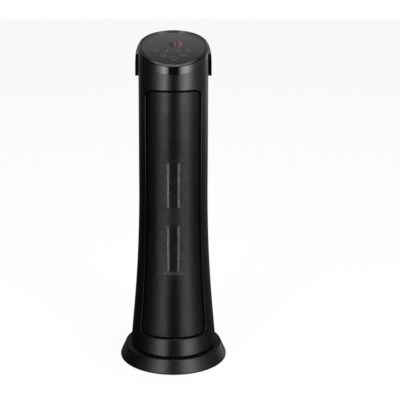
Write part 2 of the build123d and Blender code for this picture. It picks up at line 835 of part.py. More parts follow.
display_plane = tilted_plane(top_middle_height - display_board_drop, crown_tilt)
shelf_middle_drop = shelf_drop + cap_shelf_thickness / 2
cap_post_length = (display_board_drop - shelf_middle_drop) * cos(radians(crown_tilt)) - board_thickness
with BuildPart() as panel_pocket:
    with BuildSketch(Plane.XY):
        Circle(panel_radius + fit_gap)
    extrude(amount=rear_top)
    with BuildSketch(Plane.YZ):
        under_crown(shelf_drop, -1)
    extrude(amount=cut_reach, both=True, mode=Mode.SUBTRACT)

with BuildPart() as cap_cavity:
    with BuildSketch(Plane.XY):
        cap_plan(cap_wall)
    extrude(amount=rear_top)
    with BuildSketch(Plane.YZ):
        under_crown(shelf_drop + cap_shelf_thickness, 0)
    extrude(amount=cut_reach, both=True, mode=Mode.INTERSECT)

with BuildPart() as cap_spigot:
    with BuildSketch(Plane.XY):
        Circle(cap_ring_radius - fit_gap)
        Circle(cap_ring_radius - cap_wall, mode=Mode.SUBTRACT)
    extrude(amount=rear_top)
    with BuildSketch(Plane.YZ):
        under_crown(cap_height - cap_shelf_thickness, 0)
    extrude(amount=cut_reach, both=True, mode=Mode.INTERSECT)
    with BuildSketch(Plane.YZ):
        under_crown(cap_height + cap_skirt_drop, -1)
    extrude(amount=cut_reach, both=True, mode=Mode.SUBTRACT)

with BuildPart() as cap:
    with BuildSketch(Plane.XY):
        cap_plan(0)
    extrude(amount=rear_top)
    with BuildSketch(Plane.YZ):
        under_crown(0, 0)
    extrude(amount=cut_reach, both=True, mode=Mode.INTERSECT)
    front_rim = faces().sort_by(Axis.Z)[-1].edges().sort_by(Axis.Y)[0]
    fillet(front_rim, radius=cap_edge_round)
    with BuildSketch(Plane.YZ):
        under_crown(cap_height, -1)
    extrude(amount=cut_reach, both=True, mode=Mode.SUBTRACT)
    add(cap_cavity.part, mode=Mode.SUBTRACT)
    add(panel_pocket.part, mode=Mode.SUBTRACT)
    with BuildSketch(Plane.XY):
        Circle(cap_shelf_hole)
    extrude(amount=rear_top, mode=Mode.SUBTRACT)
    add(cap_spigot.part)
    with BuildSketch(display_plane.offset(board_thickness + fit_gap)):
        with PolarLocations(cap_post_circle, 4, start_angle=45):
            Circle(cap_post_radius)
    extrude(amount=cap_post_length)
cap.part.label = "cap"
export_step(cap.part, "parts/cap.step")

# Dark domed panel
with BuildPart() as touch_panel:
    with BuildSketch(Plane.XY):
        Circle(panel_radius)
    extrude(amount=rear_top)
    with BuildSketch(Plane.YZ):
        under_crown(panel_sink, 0)
    extrude(amount=cut_reach, both=True, mode=Mode.INTERSECT)
    with BuildSketch(Plane.YZ):
        under_crown(panel_sink + panel_thickness, -1)
    extrude(amount=cut_reach, both=True, mode=Mode.SUBTRACT)
touch_panel.part.label = "touch_panel"
export_step(touch_panel.part, "parts/touch_panel.step")

# Board under the panel, with the figures and the remote receiver on it
with BuildPart() as display_board:
    with BuildSketch(display_plane):
        Circle(display_board_radius)
        with Locations((0, display_board_radius)):
            Rectangle(display_width, display_depth, mode=Mode.SUBTRACT)
    extrude(amount=board_thickness)
display_board.part.label = "display_board"
export_step(display_board.part, "parts/display_board.step")

with BuildPart() as led_display:
    with BuildSketch(display_plane.offset(board_thickness)):
        with Locations((display_shift_x, display_shift_y)):
            Rectangle(display_width, display_depth)
    extrude(amount=display_height)
    chamfer(edges().group_by(Axis.Z)[-1], length=board_thickness / 4)
led_display.part.label = "led_display"
export_step(led_display.part, "parts/led_display.step")

with BuildPart() as infrared_receiver:
    with BuildSketch(display_plane.offset(board_thickness)):
        with Locations((-2 * display_shift_x, display_shift_y)):
            RectangleRounded(display_height, display_height, board_thickness / 2)
    extrude(amount=display_height / 2)
infrared_receiver.part.label = "infrared_receiver"
export_step(infrared_receiver.part, "parts/infrared_receiver.step")

# Hood: shell round the back of the top, leaning in towards the panel ring, with two flat front ends
def hood_section(drop, inset, lip):
    """Level outline of the hood in its leaning plane, a distance below its top edge."""
    radius = hood_edge_radius(max(drop, 0)) - inset
    with BuildSketch(tilted_plane(top_middle_height - lip - drop, hood_tilt)) as section:
        Ellipse(radius, radius / cos(radians(hood_tilt)))
    return section.sketch.face()


def hood_loft(inset, lip):
    """Solid of the hood's outline, inset all round and lowered by lip."""
    with BuildSketch(Plane.XY.offset(hood_bottom - hood_wall)) as foot:
        Circle(hood_foot_radius - inset)
    drops = [hood_round_height * (step / hood_sections) ** 2 for step in range(1, hood_sections + 1)]
    loft([hood_section(drop, inset, lip) for drop in [-hood_rise] + drops])
    loft([hood_section(hood_round_height, inset, lip), foot.sketch.face()], ruled=True)


with BuildPart() as hood_cavity:
    hood_loft(hood_wall, hood_wall)
    with BuildSketch(Plane.XZ.offset(-hood_end_wall)):
        Rectangle(2 * cut_reach, 2 * rear_top)
    extrude(amount=-cut_reach, mode=Mode.INTERSECT)

with BuildPart() as hood_clearance:
    with BuildSketch(Plane.XZ):
        body_face(-fit_gap, lip_height, rear_top)
    revolve(axis=Axis.Z)
    with BuildSketch(Plane.YZ):
        under_crown(cap_height, lip_height)
    extrude(amount=cut_reach, both=True, mode=Mode.INTERSECT)

with BuildPart() as rear_hood:
    hood_loft(0, 0)
    with BuildSketch(Plane.XZ):
        with Locations((0, hood_bottom)):
            Rectangle(2 * cut_reach, rear_top, align=(Align.CENTER, Align.MIN))
    extrude(amount=-cut_reach, mode=Mode.INTERSECT)
    with BuildSketch(Plane.YZ):
        under_crown(0, 0)
    extrude(amount=cut_reach, both=True, mode=Mode.INTERSECT)
    add(hood_cavity.part, mode=Mode.SUBTRACT)
    add(hood_clearance.part, mode=Mode.SUBTRACT)
    with BuildSketch(Plane.XY):
        Circle(cap_ring_radius + fit_gap)
    extrude(amount=rear_top, mode=Mode.SUBTRACT)
rear_hood.part.label = "rear_hood"
export_step(rear_hood.part, "parts/rear_hood.step")

# Blower duct: two end plates, the spiral back wall and the tongue
wall_x = heater_half_width + fit_gap + duct_sheet / 2


def volute_point(angle):
    """Point of the spiral back wall; it comes nearer to the wheel towards the back."""
    share = (volute_end - angle) / (volute_end - volute_start)
    radius = wheel_radius + duct_throat_gap + volute_growth * share
    return (radius * cos(radians(angle)), wheel_axis + radius * sin(radians(angle)))


with BuildPart() as blower_duct:
    with BuildSketch(Plane.XY.offset(duct_floor - duct_plate)):
        with BuildLine():
            Line((wall_x, -heater_face), (wall_x, -volute_point(volute_end)[1] / 4))
            bend = ThreePointArc(
                (wall_x, -volute_point(volute_end)[1] / 4), volute_point(volute_start), volute_point(volute_middle)
            )
            ThreePointArc(bend @ 1, volute_point((volute_middle + volute_end) / 2), volute_point(volute_end))
        trace(line_width=duct_sheet)
        with BuildLine():
            FilletPolyline(
                (-wall_x, -heater_face),
                (-wall_x, -wheel_axis / 2),
                (-wheel_radius - duct_throat_gap, wheel_axis / 2),
                (-wall_x - duct_throat_gap, wheel_axis),
                radius=duct_sheet * 2,
            )
        trace(line_width=duct_sheet)
    extrude(amount=duct_roof - duct_floor + 2 * duct_plate)
    with BuildSketch(Plane.XY.offset(duct_floor - duct_plate)):
        Circle(duct_plate_radius)
        with Locations((0, wheel_axis)):
            Circle(wheel_hub_radius + duct_sheet, mode=Mode.SUBTRACT)
    extrude(amount=duct_plate)
    with BuildSketch(Plane.XY.offset(duct_roof)):
        Circle(duct_plate_radius)
        with Locations((0, wheel_axis)):
            Circle(bush_seat_radius + fit_gap, mode=Mode.SUBTRACT)
    extrude(amount=duct_plate)
blower_duct.part.label = "blower_duct"
export_step(blower_duct.part, "parts/blower_duct.step")

# Cross-flow wheel: curved blades between ringed discs
blade_inner = wheel_radius - blade_depth
with BuildSketch() as blade:
    with BuildLine():
        root = (blade_inner, 0)
        tip = (wheel_radius * cos(radians(blade_lean / 2)), wheel_radius * sin(radians(blade_lean / 2)))
        RadiusArc(root, tip, blade_depth)
    trace(line_width=blade_sheet)
with BuildPart() as blower_wheel:
    with BuildSketch(Plane.XY.offset(wheel_bottom)):
        with Locations((0, wheel_axis)):
            with PolarLocations(0, blade_count):
                add(blade.sketch)
    extrude(amount=wheel_top - wheel_bottom)
    ring_step = (wheel_top - wheel_bottom - disc_thickness) / wheel_spans
    for ring in range(wheel_spans + 1):
        with BuildSketch(Plane.XY.offset(wheel_bottom + ring * ring_step)):
            with Locations((0, wheel_axis)):
                Circle(wheel_radius + blade_sheet)
                if 0 < ring < wheel_spans:
                    Circle(blade_inner, mode=Mode.SUBTRACT)
        extrude(amount=disc_thickness)
    for hub_low in (wheel_bottom, wheel_top - wheel_hub_length):
        with BuildSketch(Plane.XY.offset(hub_low)):
            with Locations((0, wheel_axis)):
                Circle(wheel_hub_radius)
        extrude(amount=wheel_hub_length)
        with BuildSketch(Plane.XY.offset(hub_low)):
            with Locations((0, wheel_axis)):
                Circle(wheel_shaft_radius)
        extrude(amount=wheel_hub_length, mode=Mode.SUBTRACT)
blower_wheel.part.label = "blower_wheel"
export_step(blower_wheel.part, "parts/blower_wheel.step")

with BuildPart() as wheel_shaft:
    with BuildSketch(Plane.XY.offset(motor_top - blower_motor_height / 2)):
        with Locations((0, wheel_axis)):
            Circle(wheel_shaft_radius)
    extrude(amount=wheel_bottom + wheel_hub_length - motor_top + blower_motor_height / 2)
wheel_shaft.part.label = "wheel_shaft"
export_step(wheel_shaft.part, "parts/wheel_shaft.step")

with BuildPart() as wheel_stub:
    with BuildSketch(Plane.XY.offset(wheel_top - wheel_hub_length)):
        with Locations((0, wheel_axis)):
            Circle(wheel_shaft_radius)
    extrude(amount=duct_roof + bush_seat_height - wheel_top + wheel_hub_length)
wheel_stub.part.label = "wheel_stub"
export_step(wheel_stub.part, "parts/wheel_stub.step")

# Motor under the duct floor, on three posts
with BuildPart() as blower_motor:
    with BuildSketch(Plane.XY.offset(motor_top - blower_motor_height)):
        with Locations((0, wheel_axis)):
            Circle(blower_motor_radius)
    extrude(amount=blower_motor_height)
    chamfer(edges().filter_by(GeomType.CIRCLE), length=base_wall)
    with BuildSketch(Plane.XY.offset(motor_top)):
        with Locations((0, wheel_axis)):
            with PolarLocations(blower_motor_radius - 3 * base_wall, 3, start_angle=30):
                Circle(base_wall)
    extrude(amount=blower_motor_gap - fit_gap)
    with BuildSketch(Plane.XY.offset(motor_top - blower_motor_height / 2)):
        with Locations((0, wheel_axis)):
            Circle(wheel_shaft_radius + running_gap)
    extrude(amount=blower_motor_height / 2, mode=Mode.SUBTRACT)
blower_motor.part.label = "blower_motor"
export_step(blower_motor.part, "parts/blower_motor.step")

# Bearing bush of the wheel's upper end, in the duct roof
with BuildPart() as top_bearing:
    with BuildSketch(Plane.XY.offset(duct_roof)):
        with Locations((0, wheel_axis)):
            Circle(bush_seat_radius)
    extrude(amount=bush_seat_height)
    with BuildSketch(Plane.XY.offset(duct_roof + duct_plate)):
        with Locations((0, wheel_axis)):
            Circle(bush_seat_radius + base_wall)
    extrude(amount=base_wall)
    with BuildSketch(Plane.XY.offset(duct_roof)):
        with Locations((0, wheel_axis)):
            Circle(wheel_shaft_radius + running_gap)
    extrude(amount=bush_seat_height, mode=Mode.SUBTRACT)
top_bearing.part.label = "top_bearing"
export_step(top_bearing.part, "parts/top_bearing.step")

# Ceramic heater: frame, two metal bars with ceramic stones in them, fin packs between and beside them
heater_middle = heater_bottom + heater_length / 2
window_half_width = heater_half_width - frame_rail
fin_face = heater_face - bar_stand_proud - fit_gap
with BuildPart() as heater_frame:
    with BuildSketch(Plane.XZ.offset(heater_face - heater_depth)):
        with Locations((0, heater_middle)):
            Rectangle(2 * heater_half_width, frame_top - frame_bottom)
            Rectangle(2 * window_half_width, heater_length, mode=Mode.SUBTRACT)
    extrude(amount=heater_depth)
    chamfer(edges().filter_by(Axis.Z).group_by(Axis.Y)[0].group_by(SortBy.LENGTH)[-1], length=frame_rail / 4)
heater_frame.part.label = "heater_frame"
export_step(heater_frame.part, "parts/heater_frame.step")

with BuildPart() as ptc_bars:
    with BuildSketch(Plane.XY.offset(heater_bottom + fit_gap)):
        with Locations((0, -fin_face + fin_depth / 2)):
            with GridLocations(2 * bar_offset, 0, 2, 1):
                Rectangle(bar_width, fin_depth + 2 * bar_stand_proud)
                Rectangle(bar_width - 2 * bar_wall, fin_depth + 2 * (bar_stand_proud - bar_wall), mode=Mode.SUBTRACT)
    extrude(amount=heater_length - 2 * fit_gap)
ptc_bars.part.label = "ptc_bars"
export_step(ptc_bars.part, "parts/ptc_bars.step")

stone_pitch = (heater_length - 2 * fit_gap) / stone_count
with BuildPart() as ceramic_stones:
    with BuildSketch(Plane.XZ.offset(fin_face - fin_depth - bar_stand_proud + bar_wall + fit_gap)):
        with Locations((0, heater_middle)):
            with GridLocations(2 * bar_offset, stone_pitch, 2, stone_count):
                Rectangle(bar_width - 2 * (bar_wall + fit_gap), stone_pitch - stone_gap)
    extrude(amount=fin_depth + 2 * (bar_stand_proud - bar_wall - fit_gap))
ceramic_stones.part.label = "ceramic_stones"
export_step(ceramic_stones.part, "parts/ceramic_stones.step")


def fin_pack(left, right):
    """Corrugated strip folded up and down the heater between two sides."""
    folds = int((heater_length - 2 * fit_gap - fin_sheet) / fin_pitch * 2)
    low = heater_middle - folds * fin_pitch / 4 - fin_sheet / 2
    notch = fin_sheet * (right - left) / fin_pitch
    right_side = [(left, low)]
    left_side = [(left, low + fin_sheet)]
    for fold in range(1, folds):
        z = low + fold * fin_pitch / 2
        if fold % 2:
            right_side += [(right, z), (right, z + fin_sheet)]
            left_side += [(right - notch, z + fin_sheet / 2)]
        else:
            right_side += [(left + notch, z + fin_sheet / 2)]
            left_side += [(left, z), (left, z + fin_sheet)]
    last = low + folds * fin_pitch / 2
    if folds % 2:
        last_edge = [(right, last), (right, last + fin_sheet)]
    else:
        last_edge = [(left, last + fin_sheet), (left, last)]
    Polygon(*right_side, *last_edge, *reversed(left_side), align=None)


bar_side = bar_width / 2 + fin_gap
with BuildPart() as heater_fins:
    with BuildSketch(Plane.XZ.offset(fin_face - fin_depth)):
        fin_pack(-window_half_width + fin_gap, -bar_offset - bar_side)
        fin_pack(-bar_offset + bar_side, bar_offset - bar_side)
        fin_pack(bar_offset + bar_side, window_half_width - fin_gap)
    extrude(amount=fin_depth)
heater_fins.part.label = "heater_fins"
export_step(heater_fins.part, "parts/heater_fins.step")

# Thermal cut-out across the middle of the bars, and the bracket at their lower end
with BuildPart() as thermal_cutout:
    with BuildSketch(Plane.XZ.offset(heater_face + fit_gap)):
        with Locations((0, cutout_middle)):
            RectangleRounded(cutout_width, cutout_height, base_wall)
    extrude(amount=cutout_plate)
    with BuildSketch(Plane.XZ.offset(heater_face + fit_gap + cutout_plate)):
        with Locations((0, cutout_middle)):
            Circle(cutout_disc_radius)
    extrude(amount=cutout_disc_height)
thermal_cutout.part.label = "thermal_cutout"
export_step(thermal_cutout.part, "parts/thermal_cutout.step")

with BuildPart() as heater_clip:
    with BuildSketch(Plane.XZ.offset(heater_face + fit_gap)):
        with Locations((0, heater_bottom)):
            Rectangle(clip_width, clip_height, align=(Align.CENTER, Align.MIN))
            with Locations((0, clip_sheet)):
                Rectangle(
                    clip_width - 2 * clip_sheet, clip_height, align=(Align.CENTER, Align.MIN), mode=Mode.SUBTRACT
                )
    extrude(amount=clip_depth)
    with BuildSketch(Plane.XZ.offset(heater_face + fit_gap)):
        with Locations((0, frame_bottom + clip_sheet)):
            Rectangle(clip_width, frame_end, align=(Align.CENTER, Align.MIN))
    extrude(amount=clip_sheet)
heater_clip.part.label = "heater_clip"
export_step(heater_clip.part, "parts/heater_clip.step")

# Deck over the air path, with an apron behind the sheet that hides the boards, and the power board on its posts
post_spread_x = power_board_width - 4 * base_wall
post_spread_y = power_board_depth - 4 * base_wall
deck_top = control_deck_height + control_deck_thickness
with BuildPart() as control_deck:
    with BuildSketch(Plane.XY.offset(control_deck_height)):
        Circle(duct_plate_radius)
    extrude(amount=control_deck_thickness)
    with BuildSketch(Plane.XY.offset(deck_top)):
        with GridLocations(post_spread_x, post_spread_y, 2, 2):
            Circle(base_wall)
    extrude(amount=board_stand)
    with BuildSketch(Plane.XY.offset(deck_top)):
        Circle(duct_plate_radius)
        Circle(duct_plate_radius - apron_wall, mode=Mode.SUBTRACT)
        Rectangle(2 * apron_half_width, 2 * duct_plate_radius, mode=Mode.INTERSECT)
        Rectangle(2 * apron_half_width, duct_plate_radius, align=(Align.CENTER, Align.MIN), mode=Mode.SUBTRACT)
    extrude(amount=apron_height)
control_deck.part.label = "control_deck"
export_step(control_deck.part, "parts/control_deck.step")

board_bottom = deck_top + board_stand + fit_gap
with BuildPart() as power_board:
    with BuildSketch(Plane.XY.offset(board_bottom)):
        Rectangle(power_board_width, power_board_depth)
    extrude(amount=board_thickness)
    with BuildSketch(Plane.XY.offset(board_bottom + board_thickness)):
        with GridLocations(relay_pitch, 0, 2, 1):
            Rectangle(relay_width, relay_length)
    extrude(amount=relay_height)
    with BuildSketch(Plane.XY.offset(board_bottom + board_thickness)):
        with Locations((power_board_width / 3, 0)):
            Circle(capacitor_radius)
    extrude(amount=relay_height * 4 / 5)
power_board.part.label = "power_board"
export_step(power_board.part, "parts/power_board.step")

# Main switch: housing with a flange on the flat pad, and the rocker on its pins
rocker_axis = pad_face + switch_flange - rocker_dish
pocket_depth = rocker_length / 2 * sin(radians(rocker_angle)) + rocker_depth + rocker_side_gap
pocket_length = 2 * (sqrt((rocker_length / 2) ** 2 + rocker_depth**2) + rocker_side_gap)
with BuildPart() as switch_housing:
    with BuildSketch(Plane.XZ.offset(-pad_face + switch_body_depth)):
        with Locations((0, switch_height)):
            Rectangle(switch_width, switch_length)
    extrude(amount=-switch_body_depth)
    with BuildSketch(Plane.XZ.offset(-pad_face)):
        with Locations((0, switch_height)):
            RectangleRounded(
                switch_width + 2 * switch_flange_lip, switch_length + 2 * switch_flange_lip, switch_flange_lip
            )
    extrude(amount=-switch_flange)
    with BuildSketch(Plane.XZ.offset(-rocker_axis + pocket_depth)):
        with Locations((0, switch_height)):
            Rectangle(rocker_width + 2 * rocker_side_gap, pocket_length)
    extrude(amount=-cut_reach, mode=Mode.SUBTRACT)
    with BuildSketch(Plane.YZ):
        with Locations((rocker_axis, switch_height)):
            Circle(rocker_pin_radius + running_gap)
    extrude(amount=rocker_width / 2 + rocker_side_gap + rocker_pin_length, both=True, mode=Mode.SUBTRACT)
switch_housing.part.label = "switch_housing"
export_step(switch_housing.part, "parts/switch_housing.step")

rocker_lean = (0, cos(radians(rocker_angle)), sin(radians(rocker_angle)))
rocker_view = Plane(origin=(0, rocker_axis, switch_height), x_dir=rocker_lean, z_dir=(1, 0, 0))
with BuildPart() as switch_rocker:
    with BuildSketch(rocker_view):
        with BuildLine():
            Polyline(
                (-rocker_depth, -rocker_length / 2),
                (rocker_rise, -rocker_length / 2),
                (rocker_dish, 0),
                (rocker_rise, rocker_length / 2),
                (-rocker_depth, rocker_length / 2),
                (-rocker_depth, -rocker_length / 2),
            )
        make_face()
    extrude(amount=rocker_width / 2, both=True)
    with BuildSketch(rocker_view):
        Circle(rocker_pin_radius)
    extrude(amount=rocker_width / 2 + rocker_pin_length, both=True)
switch_rocker.part.label = "switch_rocker"
export_step(switch_rocker.part, "parts/switch_rocker.step")
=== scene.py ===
import math

import bmesh
import bpy
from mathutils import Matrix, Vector


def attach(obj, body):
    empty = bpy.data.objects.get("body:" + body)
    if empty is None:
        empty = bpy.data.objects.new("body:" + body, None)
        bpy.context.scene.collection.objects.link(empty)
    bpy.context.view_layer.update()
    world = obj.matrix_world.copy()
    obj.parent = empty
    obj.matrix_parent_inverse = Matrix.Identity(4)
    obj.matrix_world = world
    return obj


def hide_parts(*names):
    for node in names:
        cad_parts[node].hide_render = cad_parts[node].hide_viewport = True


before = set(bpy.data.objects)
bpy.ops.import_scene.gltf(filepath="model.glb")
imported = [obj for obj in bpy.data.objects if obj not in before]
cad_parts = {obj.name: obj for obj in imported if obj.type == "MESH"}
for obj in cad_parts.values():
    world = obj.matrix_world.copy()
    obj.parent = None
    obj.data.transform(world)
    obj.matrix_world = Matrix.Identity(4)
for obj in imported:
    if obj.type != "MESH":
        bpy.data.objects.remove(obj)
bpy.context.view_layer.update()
scene = bpy.context.scene
scene.view_settings.view_transform = "Standard"
print("frame loaded")

# sizes and places are in millimetres, unless a note says otherwise, and 1000 of them make Blender's metre


def hexToLinear(code):
    parts = [int(code[i:i + 2], 16) / 255 for i in (1, 3, 5)]
    return tuple(c / 12.92 if c <= 0.04045 else ((c + 0.055) / 1.055) ** 2.4 for c in parts) + (1.0,)


def addNode(tree, kind, inputs=None, **settings):
    # kind is Blender's name without the node's family, and inputs, in order or by name, are plain values,
    # output sockets, nodes whose first output is linked in, or lists of these for one joining socket
    family = next(name for name in ("ShaderNode", "GeometryNode", "") if hasattr(bpy.types, name + kind))
    node = tree.nodes.new(family + kind)
    for name, value in settings.items():
        setattr(node, name, value)
    if isinstance(inputs, list):
        inputs = dict(enumerate(inputs))
    for name, given in (inputs or {}).items():
        for value in given if isinstance(given, list) else [given]:
            if isinstance(value, bpy.types.Node):
                value = value.outputs[0]
            if isinstance(value, bpy.types.NodeSocket):
                tree.links.new(value, node.inputs[name])
            else:
                node.inputs[name].default_value = value
    return node


def spans(start, end=(0.0, 1.0)):
    # what a Map Range node takes from one span to the other
    return {"From Min": start[0], "From Max": start[1], "To Min": end[0], "To Max": end[1]}


def newMaterial(name):
    material = bpy.data.materials.new(name)
    material.use_nodes = True
    material.node_tree.nodes.clear()
    return material, material.node_tree


def startFinish(name):
    # a finish's patterns are laid out on Object coordinates
    material, tree = newMaterial(name)
    return material, tree, addNode(tree, "TexCoord").outputs["Object"]


def endFinish(tree, inputs):
    addNode(tree, "OutputMaterial", {"Surface": addNode(tree, "BsdfPrincipled", inputs)})


# camera, at the photograph's angle: places in metres, pitch in degrees
cameraLook = {"back": 1.82781, "height": 0.83328, "pitch": 16.05, "focal": 92.54, "sensor": 36,
              "shiftX": 0.0665}
cameraData = bpy.data.cameras.new("camera")
cameraData.sensor_width = cameraLook["sensor"]
cameraData.lens = cameraLook["focal"]
cameraData.shift_x = cameraLook["shiftX"]
camera = bpy.data.objects.new("camera", cameraData)
camera.location = (0, -cameraLook["back"], cameraLook["height"])
camera.rotation_euler = (math.radians(90 - cameraLook["pitch"]), 0, 0)
scene.collection.objects.link(camera)
scene.camera = camera
print("camera placed")

# studio: two tall soft boxes in front, dark between them, a pale wall high behind and a pale ceiling
studio = {
    # degrees round the object from the front, then strength
    "around": [(-180, 0.5), (-160, 0.3), (-142, 0.12), (-120, 0.04), (-96, 0.06), (-82, 0.12), (-64, 0.5),
               (-52, 2.0), (-44, 3.6), (-37, 6.1), (-30, 7.9), (-26, 6.8), (-20, 4.0), (-14, 0.1), (0, 0.03),
               (14, 0.05), (19, 0.9), (25, 4.2), (32, 6.6), (38, 7.8), (48, 7.4), (56, 4.6), (64, 2.0),
               (76, 0.9), (95, 0.4), (118, 0.3), (130, 0.5), (142, 0.8), (160, 0.7), (180, 0.5)],
    # degrees above the horizon, then the share of the boxes' light
    "boxRise": [(-90, 0.0), (-24, 0.0), (-17, 0.13), (-13, 0.17), (-11, 0.62), (-9.8, 0.95), (-8.5, 1.0),
                (-2, 0.9), (8, 0.4), (22, 0.5), (30, 0.52), (40, 0.32), (60, 0.0), (90, 0.0)],
    # degrees above the horizon, then the pale table below, and the wall and ceiling above
    "paleRise": [(-90, 0.5), (-40, 0.4), (-26, 0.0), (27, 0.0), (37, 0.75), (50, 0.66), (60, 0.36),
                 (68, 0.4), (76, 2.4), (90, 2.9)],
    "full": 8.0,  # the strongest light of all
    "wall": (100, 125), "ceiling": (66, 76),  # degrees round and up over which each comes in
    "low": (2, 10),  # degrees up over which the boxes' light behind the object ends
    "narrow": 0.25, "narrowBy": 30,  # share by which the boxes are narrower at that many degrees up
}


def setRamp(node, stops, reach, full):
    # greys as shares of full, over the degrees from -reach to reach
    elements = node.color_ramp.elements
    for place, value in stops[1:-1]:
        elements.new((place + reach) / (2 * reach)).color = (value / full,) * 3 + (1,)
    for i in (0, -1):
        elements[i].color = (stops[i][1] / full,) * 3 + (1,)


def buildWorld():
    world = bpy.data.worlds.new("studio")
    scene.world = world
    world.use_nodes = True
    tree = world.node_tree
    tree.nodes.clear()
    full = studio["full"]
    wall, ceiling, low = (spans([math.radians(angle) for angle in studio[name]])
                          for name in ("wall", "ceiling", "low"))
    place = addNode(tree, "TexCoord")
    parts = addNode(tree, "SeparateXYZ", [place.outputs["Generated"]]).outputs
    forward = addNode(tree, "Math", [parts["Y"], -1.0], operation="MULTIPLY")
    turn = addNode(tree, "Math", [parts["X"], forward], operation="ARCTAN2")
    rise = addNode(tree, "Math", [parts["Z"]], operation="ARCSINE")
    widen = addNode(tree, "MapRange", {
        "Value": rise, **spans((0, math.radians(studio["narrowBy"])), (1, 1 + studio["narrow"]))})
    boxTurn = addNode(tree, "Math", [turn, widen], operation="MULTIPLY")
    turnShare = addNode(tree, "MapRange", {"Value": boxTurn, **spans((-math.pi, math.pi))})
    riseShare = addNode(tree, "MapRange", {"Value": rise, **spans((-math.pi / 2, math.pi / 2))})
    around = addNode(tree, "ValToRGB", [turnShare])
    setRamp(around, studio["around"], 180, full)
    boxRise = addNode(tree, "ValToRGB", [riseShare])
    setRamp(boxRise, studio["boxRise"], 90, 1)
    paleRise = addNode(tree, "ValToRGB", [riseShare])
    setRamp(paleRise, studio["paleRise"], 90, full)
    boxes = addNode(tree, "Math", [around, boxRise], operation="MULTIPLY")
    # beyond the wall's start, the boxes' light stays low
    behind = addNode(tree, "Math", [turn], operation="ABSOLUTE")
    inFront = addNode(tree, "Math", [behind, wall["From Min"]], operation="LESS_THAN")
    under = addNode(tree, "MapRange", {"Value": rise, **low, "To Min": 1.0, "To Max": 0.0})
    held = addNode(tree, "Math", [inFront, under], operation="MAXIMUM")
    heldBoxes = addNode(tree, "Math", [boxes, held], operation="MULTIPLY")
    # the wall stands behind, the ceiling is all round
    smooth = {"interpolation_type": "SMOOTHSTEP"}
    wallShare = addNode(tree, "MapRange", {"Value": behind, **wall}, **smooth)
    ceilingShare = addNode(tree, "MapRange", {"Value": rise, **ceiling}, **smooth)
    where = addNode(tree, "Math", [wallShare, ceilingShare], operation="MAXIMUM")
    pale = addNode(tree, "Math", [paleRise, where], operation="MULTIPLY")
    light = addNode(tree, "Math", [pale, heldBoxes], operation="MAXIMUM")
    strength = addNode(tree, "Math", [light, full], operation="MULTIPLY")
    rays = addNode(tree, "LightPath")
    seen = addNode(tree, "Mix", {0: rays.outputs["Is Camera Ray"], 2: strength, 3: 1.0}, data_type="FLOAT")
    shine = addNode(tree, "Background", {"Color": (1, 1, 1, 1), "Strength": seen})
    addNode(tree, "OutputWorld", {"Surface": shine})


# lamps and floor, in metres
lamps = {
    "overheadLamp": {"place": (0.3, -0.2, 2.2), "target": (0, 0, 0), "size": 1.8, "power": 26},
    "frontLamp": {"place": (-1.2, -1.6, 1.4), "target": (0, 0, 0.3), "size": 1.2, "power": 12},
}
# cameraShare is how much of the floor shows as plain white, and the rest keeps the shadow
paper = {"reach": 6.0, "colour": "#f4f4f4", "cameraShare": 0.85}


def buildLamp(name):
    look = lamps[name]
    data = bpy.data.lights.new(name, "AREA")
    data.shape = "RECTANGLE"
    data.size = data.size_y = look["size"]
    data.energy = look["power"]
    lamp = bpy.data.objects.new(name, data)
    lamp.location = look["place"]
    lamp.rotation_euler = (Vector(look["target"]) - Vector(look["place"])).to_track_quat("-Z", "Y").to_euler()
    lamp.visible_glossy = False
    scene.collection.objects.link(lamp)


def buildFloor():
    reach = paper["reach"]
    mesh = bpy.data.meshes.new("floor")
    mesh.from_pydata([(-reach, -reach, 0), (reach, -reach, 0), (reach, reach, 0), (-reach, reach, 0)], [],
                     [(0, 1, 2, 3)])
    material, tree = newMaterial("palePaper")
    rays = addNode(tree, "LightPath")
    matte = addNode(tree, "BsdfDiffuse", {"Color": hexToLinear(paper["colour"])})
    glow = addNode(tree, "Emission", {"Color": (1, 1, 1, 1), "Strength": 1.0})
    share = addNode(tree, "Math", [rays.outputs["Is Camera Ray"], paper["cameraShare"]],
                    operation="MULTIPLY")
    both = addNode(tree, "MixShader", [share, matte, glow])
    addNode(tree, "OutputMaterial", {"Surface": both})
    mesh.materials.append(material)
    floor = bpy.data.objects.new("floor", mesh)
    floor.visible_glossy = False
    scene.collection.objects.link(floor)


buildWorld()
for lampName in lamps:
    buildLamp(lampName)
buildFloor()
print("studio built")

noiseSpan = (0.3, 0.7)  # a noise pattern's values lie mostly within this
patchSpan = (0.35, 0.65)  # a tighter span, which gives patches with clearer edges


def addSurface(tree, share, colours, shine, gloss, rest):
    # two colours mixed by share, a roughness that shine moves, as gloss says, and the shader's other inputs
    first, second = (hexToLinear(code) for code in colours)
    colour = addNode(tree, "Mix", {0: share, 6: first, 7: second}, data_type="RGBA")
    roughness = addNode(tree, "MapRange", {"Value": shine, **gloss})
    endFinish(tree, {"Base Color": colour.outputs[2], "Roughness": roughness, **rest})


